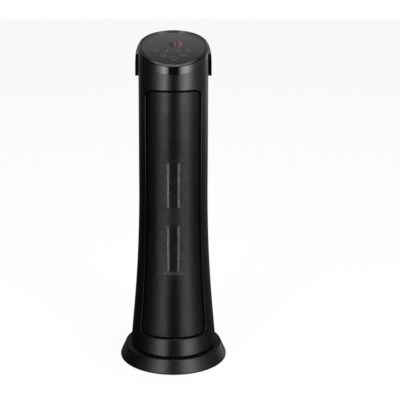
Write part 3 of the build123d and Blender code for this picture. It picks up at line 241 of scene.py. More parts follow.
# moulded thermoplastics: the polish or grain of the tool, and the slow waviness that walls cool to
# wave and grain are sizes and depths, and twist blurs the handling marks
moulded = {
    # piano-black ABS from a mirror-polished tool: sharp reflections that bend a little with the walls
    "polishedAbs": {"colours": ("#040405", "#070708"), "gloss": (0.05, 0.09), "ior": 1.49,
                    "wave": (34, 0.012), "grain": (1.4, 0.0004), "twist": 0.4},
    # ABS from a finely blasted tool: still glossy, but the soft boxes spread into broad upright bands
    "satinAbs": {"colours": ("#040404", "#070707"), "gloss": (0.26, 0.34), "ior": 1.52,
                 "wave": (42, 0.012), "grain": (1.2, 0.0025), "twist": 0.4},
    # ABS from a spark-eroded tool, for the sides that face the wall and the floor: matte and finely pitted
    "grainedAbs": {"colours": ("#0e0e0f", "#151516"), "gloss": (0.42, 0.58), "ior": 1.52,
                   "wave": (30, 0.02), "grain": (0.9, 0.03), "twist": 0.4},
    # glass-filled nylon round the heat: dull, with pale fibre clouds near the surface
    "glassFilledNylon": {"colours": ("#0c0c0c", "#1b1a19"), "gloss": (0.5, 0.7), "ior": 1.53,
                         "wave": (9, 0.02), "grain": (0.7, 0.02), "twist": 0.4},
    # acetal, the natural white of gears and bearings: waxy, with a faint yellow cast in its thicker parts
    "naturalAcetal": {"colours": ("#dcdad2", "#cfcabb"), "gloss": (0.32, 0.45), "ior": 1.48,
                      "wave": (16, 0.01), "grain": (0.8, 0.004), "twist": 0.4},
    # epoxy cast over the figures and the receiver: deep red-black and glassy
    "castEpoxy": {"colours": ("#2a0406", "#3a0609"), "gloss": (0.12, 0.2), "ior": 1.54,
                  "wave": (7, 0.01), "grain": (0.6, 0.001), "twist": 0.4},
    # chloroprene rubber of the feet, the bush and the top bearing: soft black with a grey bloom, no highlight
    "mouldedRubber": {"colours": ("#141414", "#232322"), "gloss": (0.72, 0.9), "ior": 1.52,
                      "wave": (6, 0.02), "grain": (0.8, 0.02), "twist": 0.4},
    # smoked acrylic over the display, polished: a faint grey-green depth under a clear face without grain
    "smokedAcrylic": {"colours": ("#0f1211", "#131413"), "gloss": (0.09, 0.14), "ior": 1.49,
                      "wave": (46, 0.01), "twist": 0.0},
}


def buildMoulded(name):
    look = moulded[name]
    material, tree, spot = startFinish(name)
    waveSize, waveDepth = look["wave"]
    wave = addNode(tree, "TexNoise", {"Vector": spot, "Scale": 1000 / waveSize, "Detail": 2.0})
    relief = addNode(tree, "Bump", {"Height": wave, "Distance": waveDepth / 1000})
    if "grain" in look:
        grainSize, grainDepth = look["grain"]
        grain = addNode(tree, "TexNoise", {"Vector": spot, "Scale": 1000 / grainSize, "Detail": 3.0})
        relief = addNode(tree, "Bump", {"Height": grain, "Distance": grainDepth / 1000, "Normal": relief})
    # handling marks, 0.4 of the waves' size, where the gloss is a little lower
    marks = addNode(tree, "TexNoise", {
        "Vector": spot, "Scale": 2500 / waveSize, "Detail": 6.0, "Roughness": 0.7,
        "Distortion": look["twist"]})
    addSurface(tree, marks, look["colours"], marks, spans(noiseSpan, look["gloss"]),
               {"IOR": look["ior"], "Normal": relief})
    return material


# thin layers: a fine mottle of the given size in the colour and the gloss
thinLayers = {
    # tinted film over the figures, matt-coated: it cuts the reflection, and it carries a painted red glow,
    # stronger to the right, that stands in for the figures' light spreading in it
    # paintedHalo is two places on X and the strengths of that painted glow there
    "tintedFilm": {"colours": ("#0a0607", "#100a0c"), "gloss": (0.2, 0.35), "mottle": 2.4, "ior": 1.49,
                   "specular": 0.26, "paintedHaloColour": "#b8607c", "paintedHalo": ((-6.0, 9.0), (0.012, 0.07))},
    # near-black blasted primer, painted shade of the recess round the window sheet's plain border and of the
    # groove round the panel: it throws back almost nothing
    "paintedShadeBlack": {"colours": ("#020202", "#040404"), "gloss": (0.75, 0.95), "mottle": 0.8,
                           "ior": 1.5, "specular": 0.04, "grit": 0.05},
    # touch icons, screen-printed in a thin grey ink: flat and slightly broken, so they stay faint
    "screenPrintedInk": {"colours": ("#343635", "#535654"), "gloss": (0.35, 0.55), "mottle": 1.2, "ior": 1.5,
                         "specular": 0.5},
}


def buildThinLayer(name):
    look = thinLayers[name]
    material, tree, spot = startFinish(name)
    mottle = addNode(tree, "TexNoise", {"Vector": spot, "Scale": 1000 / look["mottle"], "Detail": 3.0})
    rest = {"IOR": look["ior"], "Specular IOR Level": look["specular"]}
    if "grit" in look:
        rest["Normal"] = addNode(tree, "Bump", {"Height": mottle, "Distance": look["grit"] / 1000})
    # the film's own painted glow, stronger along X, in place of the figures' light scattered in it
    if "paintedHalo" in look:
        place = addNode(tree, "SeparateXYZ", [spot])
        places, strengths = look["paintedHalo"]
        rest["Emission Color"] = hexToLinear(look["paintedHaloColour"])
        rest["Emission Strength"] = addNode(tree, "MapRange", {
            "Value": place.outputs["X"], **spans([x / 1000 for x in places], strengths)},
            interpolation_type="SMOOTHSTEP")
    addSurface(tree, mottle, look["colours"], mottle, spans((0, 1), look["gloss"]), rest)
    return material


# powder-coated steel sheet of the window: satin black, with the orange peel of melted powder
# that peel is about 1 mm wide, finer than the render shows, so it is drawn at 2 mm
powderCoat = {"colours": ("#060607", "#0d0d0e"), "gloss": (0.27, 0.37), "peel": 2.0, "peelDepth": 0.006,
              "drift": 10.0}


def buildPowderCoat():
    material, tree, spot = startFinish("powderCoatedSteel")
    peel = addNode(tree, "TexVoronoi", {"Vector": spot, "Scale": 1000 / powderCoat["peel"]},
                   feature="SMOOTH_F1")
    drift = addNode(tree, "TexNoise", {"Vector": spot, "Scale": 1000 / powderCoat["drift"], "Detail": 4.0})
    relief = addNode(tree, "Bump", {"Height": peel, "Distance": powderCoat["peelDepth"] / 1000})
    addSurface(tree, drift, powderCoat["colours"], drift, spans(noiseSpan, powderCoat["gloss"]),
               {"IOR": 1.5, "Normal": relief})
    return material


# metals: lines of rolling or drawing that run along Z, and patches of plating or oxide
metals = {
    # bright zinc plating on pressed and turned steel: mid grey with a blue and straw bloom
    "zincPlatedSteel": {"colours": ("#a3a7ac", "#b5b1a6"), "gloss": (0.42, 0.6), "patch": 11,
                        "line": 0.7, "lineLength": 14, "lineDepth": 0.006},
    # black-passivated steel can of the blower motor: dark grey, faintly metallic
    "passivatedSteel": {"colours": ("#26272a", "#34332f"), "gloss": (0.45, 0.6), "patch": 13,
                        "line": 0.9, "lineLength": 12, "lineDepth": 0.008},
    # etched aluminium tubes round the heating stones: pale and nearly matte, so they show as two light lines
    "etchedAluminium": {"colours": ("#f2f3f4", "#dcdee0"), "gloss": (0.68, 0.82), "patch": 8,
                        "line": 0.6, "lineLength": 22, "lineDepth": 0.01},
    # rolled aluminium, baked by the heat: straw-grey, with soft streaks along the strip
    "bakedAluminium": {"colours": ("#b3b1a4", "#918e83"), "gloss": (0.5, 0.66), "patch": 9,
                       "line": 0.6, "lineLength": 18, "lineDepth": 0.01},
    # die-cast aluminium block of the cut-out: dull mid grey with flow marks
    "dieCastAluminium": {"colours": ("#6d6f70", "#565553"), "gloss": (0.5, 0.66), "patch": 9,
                         "line": 1.6, "lineLength": 9, "lineDepth": 0.01},
}


def buildMetal(name):
    look = metals[name]
    material, tree, spot = startFinish(name)
    across = 1000 / look["line"]
    stretched = addNode(tree, "Mapping", {
        "Vector": spot, "Scale": (across, across, 1000 / look["lineLength"])})
    lines = addNode(tree, "TexNoise", {"Vector": stretched, "Scale": 1.0, "Detail": 3.0})
    patches = addNode(tree, "TexNoise", {"Vector": spot, "Scale": 1000 / look["patch"], "Detail": 5.0})
    spread = addNode(tree, "MapRange", {"Value": patches, **spans(patchSpan)})
    relief = addNode(tree, "Bump", {"Height": lines, "Distance": look["lineDepth"] / 1000})
    addSurface(tree, spread, look["colours"], lines, spans(noiseSpan, look["gloss"]),
               {"Metallic": 1.0, "Normal": relief})
    return material


# barium titanate heating stones, pressed and fired: dull grey-brown with darker grains and fine pores
stone = {"colours": ("#37332f", "#5b5650"), "gloss": (0.6, 0.9), "grain": 1.1, "pore": 0.5, "poreDepth": 0.04}


def buildStone():
    material, tree, spot = startFinish("firedBariumTitanate")
    grains = addNode(tree, "TexVoronoi", {"Vector": spot, "Scale": 1000 / stone["grain"]})
    pores = addNode(tree, "TexNoise", {"Vector": spot, "Scale": 1000 / stone["pore"], "Detail": 4.0})
    relief = addNode(tree, "Bump", {"Height": pores, "Distance": stone["poreDepth"] / 1000})
    addSurface(tree, grains, stone["colours"], pores, spans((0, 1), stone["gloss"]),
               {"IOR": 1.6, "Normal": relief})
    return material


# glass-epoxy circuit board under green solder mask: paler copper tracks show through, with bare tinned pads
board = {"mask": "#0d2c17", "track": "#1d4a27", "pad": "#8d8f86", "pitch": 5.08, "trackWidth": 0.5,
         "trackDepth": 0.04, "runLength": 2.4, "runStep": 0.37, "padPitch": 7.62, "padShare": 0.14,
         "gloss": (0.32, 0.22)}


def buildBoard():
    material, tree, spot = startFinish("glassEpoxyBoard")
    mask = hexToLinear(board["mask"])
    tracks = addNode(tree, "TexBrick", {
        "Vector": spot, "Color1": mask, "Color2": mask, "Mortar": hexToLinear(board["track"]),
        "Scale": 1000 / board["pitch"], "Brick Width": board["runLength"], "Row Height": 0.5,
        "Mortar Size": board["trackWidth"] / board["pitch"] / 2, "Mortar Smooth": 0.1},
        offset=board["runStep"])
    holes = addNode(tree, "TexVoronoi", {
        "Vector": spot, "Scale": 1000 / board["padPitch"], "Randomness": 0.8})
    pads = addNode(tree, "Math", [holes, board["padShare"]], operation="LESS_THAN")
    colour = addNode(tree, "Mix", {
        0: pads, 6: tracks.outputs["Color"], 7: hexToLinear(board["pad"])}, data_type="RGBA")
    gloss = addNode(tree, "MapRange", {"Value": tracks.outputs["Fac"], **spans((0, 1), board["gloss"])})
    relief = addNode(tree, "Bump", {"Height": tracks.outputs["Fac"], "Distance": board["trackDepth"] / 1000})
    endFinish(tree, {"Base Color": colour.outputs[2], "Roughness": gloss, "Metallic": pads, "Normal": relief})
    return material


# lit bars of the figures behind film and acrylic: a soft pink, uneven along each bar and greyer on the left
# the left colour turns to the right one over change, on X, and light is the strengths from cell to cell
litBar = {"off": "#2a0c12", "left": "#a8949a", "right": "#d596aa", "change": (3.0, 6.0), "cell": 3.2,
          "light": (0.3, 0.42), "gloss": (0.2, 0.4), "specular": 0.17}


def buildLitBar():
    material, tree, spot = startFinish("litLedBar")
    cells = addNode(tree, "TexNoise", {"Vector": spot, "Scale": 1000 / litBar["cell"], "Detail": 1.0})
    place = addNode(tree, "SeparateXYZ", [spot])
    across = addNode(tree, "MapRange", {
        "Value": place.outputs["X"], **spans([x / 1000 for x in litBar["change"]])})
    glow = addNode(tree, "Mix", {
        0: across, 6: hexToLinear(litBar["left"]), 7: hexToLinear(litBar["right"])}, data_type="RGBA")
    light = addNode(tree, "MapRange", {"Value": cells, **spans(patchSpan, litBar["light"])})
    gloss = addNode(tree, "MapRange", {"Value": cells, **spans((0, 1), litBar["gloss"])})
    endFinish(tree, {
        "Base Color": hexToLinear(litBar["off"]), "Roughness": gloss, "Emission Strength": light,
        "Emission Color": glow.outputs[2], "Specular IOR Level": litBar["specular"]})
    return material


finish = {name: buildMoulded(name) for name in moulded}
finish.update({name: buildThinLayer(name) for name in thinLayers})
finish.update({name: buildMetal(name) for name in metals})
finish["powderCoatedSteel"] = buildPowderCoat()
finish["firedBariumTitanate"] = buildStone()
finish["glassEpoxyBoard"] = buildBoard()
finish["litLedBar"] = buildLitBar()
print("finishes built")

# casing: the outline that the window and its mesh follow
casing = {"footRadius": 80.8, "footHeight": 29.3, "kneeRadius": 63.56, "kneeHeight": 216.6, "topRadius": 62.4,
          "topHeight": 591.5, "blendReach": 115.6, "windowLow": 61.7, "windowHigh": 521.7,
          "windowShare": 0.78801, "windowCorner": 13.0}
lowSlope = (casing["footRadius"] - casing["kneeRadius"]) / (casing["kneeHeight"] - casing["footHeight"])
highSlope = (casing["kneeRadius"] - casing["topRadius"]) / (casing["topHeight"] - casing["kneeHeight"])
blendLow = casing["kneeHeight"] - casing["blendReach"]
blendRadius = casing["kneeRadius"] + lowSlope * casing["blendReach"]
blendBend = (lowSlope - highSlope) / (4 * casing["blendReach"])


def casingRadius(z):
    up = z - blendLow
    along = min(max(up, 0), 2 * casing["blendReach"])
    return blendRadius - lowSlope * up + blendBend * along ** 2 + (lowSlope - highSlope) * max(up - along, 0)


def addCasingRadius(tree, level):
    # the same radius as nodes
    reach = 2 * casing["blendReach"]
    up = addNode(tree, "Math", [level, blendLow], operation="SUBTRACT")
    along = addNode(tree, "Clamp", {"Value": up, "Min": 0.0, "Max": reach})
    square = addNode(tree, "Math", [along, along], operation="MULTIPLY")
    over = addNode(tree, "Math", [up, reach], operation="SUBTRACT")
    past = addNode(tree, "Math", [over, 0.0], operation="MAXIMUM")
    cone = addNode(tree, "Math", [up, -lowSlope, blendRadius], operation="MULTIPLY_ADD")
    bent = addNode(tree, "Math", [square, blendBend, cone], operation="MULTIPLY_ADD")
    return addNode(tree, "Math", [past, lowSlope - highSlope, bent], operation="MULTIPLY_ADD")


def newTree(name, sizes, counts=()):
    # a geometry tree with named inputs for its sizes, its counts and its finish
    tree = bpy.data.node_groups.new(name, "GeometryNodeTree")
    sockets = [("Geometry", "Geometry"), *((size, "Float") for size in sizes),
               *((count, "Int") for count in counts), ("Finish", "Material")]
    for label, kind in sockets:
        tree.interface.new_socket(label, in_out="INPUT", socket_type="NodeSocket" + kind)
    tree.interface.new_socket("Geometry", in_out="OUTPUT", socket_type="NodeSocketGeometry")
    return tree, addNode(tree, "NodeGroupInput").outputs


def rowParity(tree, rows):
    # 1 on every second row of a grid, whose points are numbered up its columns
    row = addNode(tree, "Math", [addNode(tree, "InputIndex"), rows], operation="MODULO")
    return addNode(tree, "Math", [row, 2.0], operation="MODULO")


def thicken(tree, flat, thickness, weld):
    # the flat faces raised by the thickness, and closed with their own back
    raised = addNode(tree, "ExtrudeMesh", {
        "Mesh": flat, "Offset Scale": thickness, "Individual": False}, mode="FACES")
    back = addNode(tree, "FlipFaces", {"Mesh": flat})
    both = addNode(tree, "JoinGeometry", {"Geometry": [raised, back]})
    return addNode(tree, "MergeByDistance", {"Geometry": both, "Distance": weld})


def endTree(tree, shape, given):
    # made real, in metres, with its finish
    metres = addNode(tree, "Transform", {"Geometry": shape, "Scale": (0.001, 0.001, 0.001)})
    whole = addNode(tree, "RealizeInstances", [metres])
    coated = addNode(tree, "SetMaterial", {"Geometry": whole, "Material": given["Finish"]})
    addNode(tree, "NodeGroupOutput", [coated])
    return tree


def runTree(name, tree, inputs, data=None):
    # the tree runs on a carrier, and the result is kept as a plain mesh
    carrier = bpy.data.objects.new(name + "Carrier", data or bpy.data.meshes.new(name + "Start"))
    scene.collection.objects.link(carrier)
    modifier = carrier.modifiers.new("shape", "NODES")
    modifier.node_group = tree
    for socket in tree.interface.items_tree:
        if socket.in_out == "INPUT" and socket.name in inputs:
            modifier[socket.identifier] = inputs[socket.name]
    shaped = carrier.evaluated_get(bpy.context.evaluated_depsgraph_get())
    mesh = bpy.data.meshes.new_from_object(shaped)
    mesh.name = name
    carrier.modifiers.remove(modifier)
    bpy.data.objects.remove(carrier)
    piece = bpy.data.objects.new(name, mesh)
    scene.collection.objects.link(piece)
    return piece


def pieceFrom(shape, name, finishNames, sharp=None):
    # an object from a bmesh: flat faces, or smooth ones up to the sharp angle
    mesh = bpy.data.meshes.new(name)
    shape.to_mesh(mesh)
    shape.free()
    if sharp:
        mesh.polygons.foreach_set("use_smooth", [True] * len(mesh.polygons))
        mesh.set_sharp_from_angle(angle=math.radians(sharp))
    for finishName in finishNames:
        mesh.materials.append(finish[finishName])
    piece = bpy.data.objects.new(name, mesh)
    scene.collection.objects.link(piece)
    return piece


def bridge(shape, loops, closed=True):
    # rows of faces from each loop of points to the next, which end at the first again, or in two end faces
    rows = []
    for a, b in zip(loops, loops[1:] + loops[:1] if closed else loops[1:]):
        rows.append([shape.faces.new(four) for four in zip(a, a[1:] + a[:1], b[1:] + b[:1], b)])
    if not closed:
        shape.faces.new(loops[0])
        shape.faces.new(loops[-1])
    bmesh.ops.recalc_face_normals(shape, faces=shape.faces)
    return rows


# window mesh: micro mesh with diamond openings, rolled to the casing's curve
windowMesh = {"Column Pitch": 3.9, "Row Pitch": 1.95, "Strand": 0.8, "Sheet": 0.7, "Inset": 2.85,
              "Grow": -2.4, "Turn Radius": 63.0, "turn": 1.02, "cellWeld": 0.05, "edgeWeld": 0.01}


def buildWindowMeshTree():
    tree, given = newTree("windowMeshTree", (
        "Column Pitch", "Row Pitch", "Strand", "Sheet", "Inset", "Grow", "Turn Radius"), ("Columns", "Rows"))
    middle = (casing["windowLow"] + casing["windowHigh"]) / 2
    straightHigh = (casing["windowHigh"] - casing["windowLow"]) / 2 - casing["windowCorner"]

    def rollPlace():
        # a point's height on the flat sheet, then on the casing, the radius there and the turn round the axis
        flat = addNode(tree, "SeparateXYZ", [addNode(tree, "InputPosition")]).outputs
        level = addNode(tree, "Math", [flat["Y"], middle], operation="ADD")
        turn = addNode(tree, "Math", [flat["X"], given["Turn Radius"]], operation="DIVIDE")
        return flat["Y"], level, addCasingRadius(tree, level), turn

    # flat grid of opening centres, with every second row moved by half a pitch
    lastColumn = addNode(tree, "Math", [given["Columns"], 1.0], operation="SUBTRACT")
    lastRow = addNode(tree, "Math", [given["Rows"], 1.0], operation="SUBTRACT")
    wide = addNode(tree, "Math", [lastColumn, given["Column Pitch"]], operation="MULTIPLY")
    high = addNode(tree, "Math", [lastRow, given["Row Pitch"]], operation="MULTIPLY")
    grid = addNode(tree, "MeshGrid", {
        "Size X": wide, "Size Y": high, "Vertices X": given["Columns"], "Vertices Y": given["Rows"]})
    halfPitch = addNode(tree, "Math", [given["Column Pitch"], 0.5], operation="MULTIPLY")
    step = addNode(tree, "Math", [rowParity(tree, given["Rows"]), halfPitch], operation="MULTIPLY")
    shift = addNode(tree, "CombineXYZ", {"X": step})
    staggered = addNode(tree, "SetPosition", {"Geometry": grid, "Offset": shift})
    # openings outside the rounded outline go
    up, level, radius, turn = rollPlace()
    sine = addNode(tree, "Math", [turn], operation="SINE")
    sheetRadius = addNode(tree, "Math", [radius, given["Inset"]], operation="SUBTRACT")
    signedX = addNode(tree, "Math", [sine, sheetRadius], operation="MULTIPLY")
    frontX = addNode(tree, "Math", [signedX], operation="ABSOLUTE")
    frontZ = addNode(tree, "Math", [up], operation="ABSOLUTE")
    straightWide = addNode(tree, "Math", [radius, casing["windowShare"], -casing["windowCorner"]],
                           operation="MULTIPLY_ADD")
    pastX = addNode(tree, "Math", [frontX, straightWide], operation="SUBTRACT")
    pastZ = addNode(tree, "Math", [frontZ, straightHigh], operation="SUBTRACT")
    outX = addNode(tree, "Math", [pastX, 0.0], operation="MAXIMUM")
    outZ = addNode(tree, "Math", [pastZ, 0.0], operation="MAXIMUM")
    out = addNode(tree, "CombineXYZ", [outX, outZ])
    away = addNode(tree, "VectorMath", [out], operation="LENGTH")
    reach = addNode(tree, "Math", [given["Grow"], casing["windowCorner"]], operation="ADD")
    outside = addNode(tree, "Math", [away.outputs["Value"], reach], operation="GREATER_THAN")
    kept = addNode(tree, "DeleteGeometry", {"Geometry": staggered, "Selection": outside}, domain="POINT")
    # one opening: the strand round a diamond
    bare = addNode(tree, "Math", [given["Strand"], math.sqrt(0.5)], operation="MULTIPLY")
    clear = addNode(tree, "Math", [halfPitch, bare], operation="SUBTRACT")
    outer = addNode(tree, "CurvePrimitiveCircle", {"Resolution": 4, "Radius": halfPitch})
    inner = addNode(tree, "CurvePrimitiveCircle", {"Resolution": 4, "Radius": clear})
    both = addNode(tree, "JoinGeometry", {"Geometry": [outer, inner]})
    strand = addNode(tree, "FillCurve", {"Curve": both})
    tall = addNode(tree, "Math", [given["Row Pitch"], halfPitch], operation="DIVIDE")
    stretch = addNode(tree, "CombineXYZ", [1.0, tall, 1.0])
    cells = addNode(tree, "InstanceOnPoints", {"Points": kept, "Instance": strand, "Scale": stretch})
    flat = addNode(tree, "RealizeInstances", [cells])
    sheet = addNode(tree, "MergeByDistance", {"Geometry": flat, "Distance": windowMesh["cellWeld"]})
    # rolled to the casing at the sheet's back, then thickened outwards
    up, level, radius, turn = rollPlace()
    depth = addNode(tree, "Math", [given["Inset"], given["Sheet"]], operation="ADD")
    backRadius = addNode(tree, "Math", [radius, depth], operation="SUBTRACT")
    sine = addNode(tree, "Math", [turn], operation="SINE")
    cosine = addNode(tree, "Math", [turn], operation="COSINE")
    x = addNode(tree, "Math", [sine, backRadius], operation="MULTIPLY")
    back = addNode(tree, "Math", [cosine, backRadius], operation="MULTIPLY")
    y = addNode(tree, "Math", [back, -1.0], operation="MULTIPLY")
    place = addNode(tree, "CombineXYZ", [x, y, level])
    rolled = addNode(tree, "SetPosition", {"Geometry": sheet, "Position": place})
    return endTree(tree, thicken(tree, rolled, given["Sheet"], windowMesh["edgeWeld"]), given)


# plain border of the sheet: from behind the casing to the first openings, in steps round the window's outline
meshBorder = {"outerGrow": 2.8, "innerGrow": -3.3, "inset": 2.7, "sheet": 1.0, "turns": 8, "rises": 60}


def windowOutline(grow):
    # front view of the window grown all round, as (x, z) points from the bottom middle, to the right
    turns, rises = meshBorder["turns"], meshBorder["rises"]
    corner = casing["windowCorner"] + grow
    low = casing["windowLow"] - grow
    high = casing["windowHigh"] + grow
    right = []
    for z, side in ((low + corner, -1), (high - corner, 1)):
        middle = casingRadius(z) * casing["windowShare"] + grow - corner
        edge = [(middle * i / turns, z + side * corner) for i in range(turns)]
        arc = [(middle + corner * math.sin(math.pi / 2 * i / turns),
                z + side * corner * math.cos(math.pi / 2 * i / turns)) for i in range(turns + 1)]
        part = edge + arc
        if side > 0:
            part.reverse()
            sideLow, sideHigh = right[-1][1], part[0][1]
            for i in range(1, rises):
                level = sideLow + (sideHigh - sideLow) * i / rises
                right.append((casingRadius(level) * casing["windowShare"] + grow, level))
        right += part
    return right + [(-x, level) for x, level in reversed(right[1:-1])]


def addMeshBorder(piece):
    shape = bmesh.new()
    # the border's faces take the near-black painted shade of the recess round the window
    piece.data.materials.append(finish["paintedShadeBlack"])
    shadeIndex = len(piece.data.materials) - 1
    outer = windowOutline(meshBorder["outerGrow"])
    inner = windowOutline(meshBorder["innerGrow"])
    loops = []
    for outline, depth in ((outer, 0), (inner, 0), (inner, 1), (outer, 1)):
        loop = []
        for x, z in outline:
            radius = casingRadius(z) - meshBorder["inset"] - depth * meshBorder["sheet"]
            loop.append(shape.verts.new((x / 1000, -math.sqrt(radius ** 2 - x ** 2) / 1000, z / 1000)))
        loops.append(loop)
    for face in sum(bridge(shape, loops), []):
        face.material_index = shadeIndex
    shape.from_mesh(piece.data)
    shape.to_mesh(piece.data)
    shape.free()


columns = int(2 * windowMesh["turn"] * windowMesh["Turn Radius"] / windowMesh["Column Pitch"])
rows = int((casing["windowHigh"] - casing["windowLow"] + 2 * windowMesh["Grow"]) / windowMesh["Row Pitch"])
meshSheet = runTree("windowMeshSheet", buildWindowMeshTree(), {
    **windowMesh, "Columns": columns, "Rows": rows, "Finish": finish["powderCoatedSteel"]})
addMeshBorder(meshSheet)
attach(meshSheet, "tower")
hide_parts("mesh_panel")
print("window mesh ready,", len(meshSheet.data.polygons), "faces with its border")

# panel face: a shallow crown, whose marks and figures are thin lines that follow it
panelFace = {"crownMiddle": 242.58, "crownCentre": -43.76, "crownRadius": 680.0, "sink": 0.6, "lift": 0.02}
figures = {"Line Width": 2.1, "Line Height": 0.06, "Step": 1.5, "high": 15.0, "wide": 7.0, "gap": 0.6,
           "lit": [((-0.3, 7.6), ("top", "upperRight", "lowerRight")),
                   ((10.3, 7.6), ("top", "centre", "bottom", "upperRight", "lowerRight"))]}
# an icon has its middle, arcs (middle x and y, radius, from and to in degrees, steps) and lines of points
marks = {"Line Width": 1.0, "Line Height": 0.05, "Step": 0.8, "icons": {
    "fan": {"at": (-29.8, -13.7), "arcs": [
        (0, 0, 1.1, 0, 360, 12), (2.6, 0, 1.7, -150, 60, 10), (0, 2.6, 1.7, -60, 150, 10),
        (-2.6, 0, 1.7, 30, 240, 10), (0, -2.6, 1.7, 120, 330, 10)]},
    "flame": {"at": (-10.5, -13.7), "lines": [
        [(0, 4.4), (2.6, 1.2), (3.4, -1.4), (2.2, -3.6), (0, -4.4), (-2.2, -3.6), (-3.4, -1.4), (-1.6, 0.8),
         (0, 4.4)],
        [(0, -0.2), (1.3, -2.2), (0, -3.4), (-1.3, -2.2), (0, -0.2)]]},
    # three rising waves over a line
    "warmth": {"at": (8.9, -13.7), "lines": [
        *([(x + 0.9 * math.sin(i / 8 * 2 * math.pi), 6 * i / 8 - 3) for i in range(9)]
          for x in (-3.2, 0, 3.2)),
        [(-4.6, -4.4), (4.6, -4.4)]]},
    # a moon, whose two arcs make one closed line
    "night": {"at": (26.8, -13.4), "joined": True,
              "arcs": [(0, 0, 4.4, 50, 310, 20), (2.1, 0, 3.5, -78, -282, 16)]},
    "timer": {"at": (-17.7, -28.8), "arcs": [(0, 0, 4.7, 0, 360, 28)],
              "lines": [[(0, 3.0), (0, 0), (2.2, 0)]]},
    "swing": {"at": (17.5, -28.5), "lines": [[(0, -4.4), (0, 4.4)]], "arcs": [
        (0, 0, 3.4, 130, 230, 10), (0, 0, 3.4, -50, 50, 10), (0, 0, 5.6, 145, 215, 10),
        (0, 0, 5.6, -35, 35, 10)]},
    "power": {"at": (0.2, -37.1), "arcs": [(0, 0, 5.6, 120, 420, 30)], "lines": [[(0, 1.2), (0, 6.4)]]},
}}


def buildLineTree():
    tree, given = newTree("panelLineTree", ("Line Width", "Line Height", "Step"))
    even = addNode(tree, "ResampleCurve", {"Curve": given["Geometry"], "Length": given["Step"]},
                   mode="LENGTH")
    section = addNode(tree, "CurvePrimitiveQuadrilateral", {
        "Width": given["Line Width"], "Height": given["Line Height"]})
    level = addNode(tree, "SetCurveNormal", {"Curve": even}, mode="Z_UP")
    line = addNode(tree, "CurveToMesh", {"Curve": level, "Profile Curve": section, "Fill Caps": True})
    # lifted on to the crown
    spot = addNode(tree, "SeparateXYZ", [addNode(tree, "InputPosition")])
    back = addNode(tree, "Math", [spot.outputs["Y"], panelFace["crownMiddle"]], operation="SUBTRACT")
    square = addNode(tree, "Math", [back, back], operation="MULTIPLY")
    rest = addNode(tree, "Math", [panelFace["crownRadius"] ** 2, square], operation="SUBTRACT")
    crown = addNode(tree, "Math", [rest], operation="SQRT")
    lift = panelFace["crownCentre"] - panelFace["sink"] + panelFace["lift"]
    height = addNode(tree, "Math", [crown, lift], operation="ADD")
    rise = addNode(tree, "CombineXYZ", {"Z": height})
    return endTree(tree, addNode(tree, "SetPosition", {"Geometry": line, "Offset": rise}), given)


def linesToCurve(name, lines):
    # lines are lists of flat points, closed where the last equals the first
    curve = bpy.data.curves.new(name, "CURVE")
    curve.dimensions = "3D"
    for points in lines:
        closed = math.dist(points[0], points[-1]) < 1e-6  # two ends in one place
        if closed:
            points = points[:-1]
        spline = curve.splines.new("POLY")
        spline.points.add(len(points) - 1)
        for point, (x, y) in zip(spline.points, points):
            point.co = (x, y, 0, 1)
        spline.use_cyclic_u = closed
    return curve


def figureLines(middle, lit):
    # the lit bars of one seven-bar figure
    wide, high, gap = figures["wide"] / 2, figures["high"] / 2, figures["gap"]
    x, y = middle
    bars = {name: ((-wide + gap, level), (wide - gap, level))
            for name, level in (("top", high), ("centre", 0), ("bottom", -high))}
    bars["upperRight"] = ((wide, gap), (wide, high - gap))
    bars["lowerRight"] = ((wide, -high + gap), (wide, -gap))
    return [[(x + a, y + b) for a, b in bars[name]] for name in lit]


def iconLines(icon):
    x, y = icon["at"]
    arcs = []
    for a, b, radius, start, end, steps in icon.get("arcs", []):
        turns = [math.radians(start + (end - start) * i / steps) for i in range(steps + 1)]
        arcs.append([(x + a + radius * math.cos(turn), y + b + radius * math.sin(turn)) for turn in turns])
    if "joined" in icon:
        arcs = [arcs[0] + arcs[1][1:] + arcs[0][:1]]
    return arcs + [[(x + a, y + b) for a, b in line] for line in icon.get("lines", [])]


def buildPanelLines():
    tree = buildLineTree()
    drawn = [line for icon in marks["icons"].values() for line in iconLines(icon)]
    lit = [line for middle, bars in figures["lit"] for line in figureLines(middle, bars)]
    printed = runTree("panelMarks", tree, {**marks, "Finish": finish["screenPrintedInk"]},
                      linesToCurve("marks", drawn))
    digits = runTree("displayFigures", tree, {**figures, "Finish": finish["litLedBar"]},
                     linesToCurve("figures", lit))
    for piece, slotName in ((printed, "panel"), (digits, "display")):
        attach(piece, "tower")
        print(piece.name, "ready,", len(piece.data.polygons), "faces")


buildPanelLines()

# bezel: an acrylic ledge that carries the panel's face outwards, a slightly raised near-black band that is
# painted shade of the groove round the panel, and a raised bright ring
# its radii and its heights above the crown change from the front to the back
bezel = {"inner": 53.6, "ledge": 0.03, "frontShadeBand": (55.9, 57.9), "backShadeBand": (57.8, 58.1), "shadeBandLift": 0.04,
         "frontOuter": 60.8, "backOuter": 58.9, "frontRise": 1.1, "backRise": 0.9, "bevel": 0.15,
         "lipWide": 0.3, "lipHigh": 0.14, "low": 0.04, "sink": 0.6, "turns": 180, "sharp": 12}


def crownHeight(y):
    back = y - panelFace["crownMiddle"]
    return panelFace["crownCentre"] + math.sqrt(panelFace["crownRadius"] ** 2 - back ** 2)


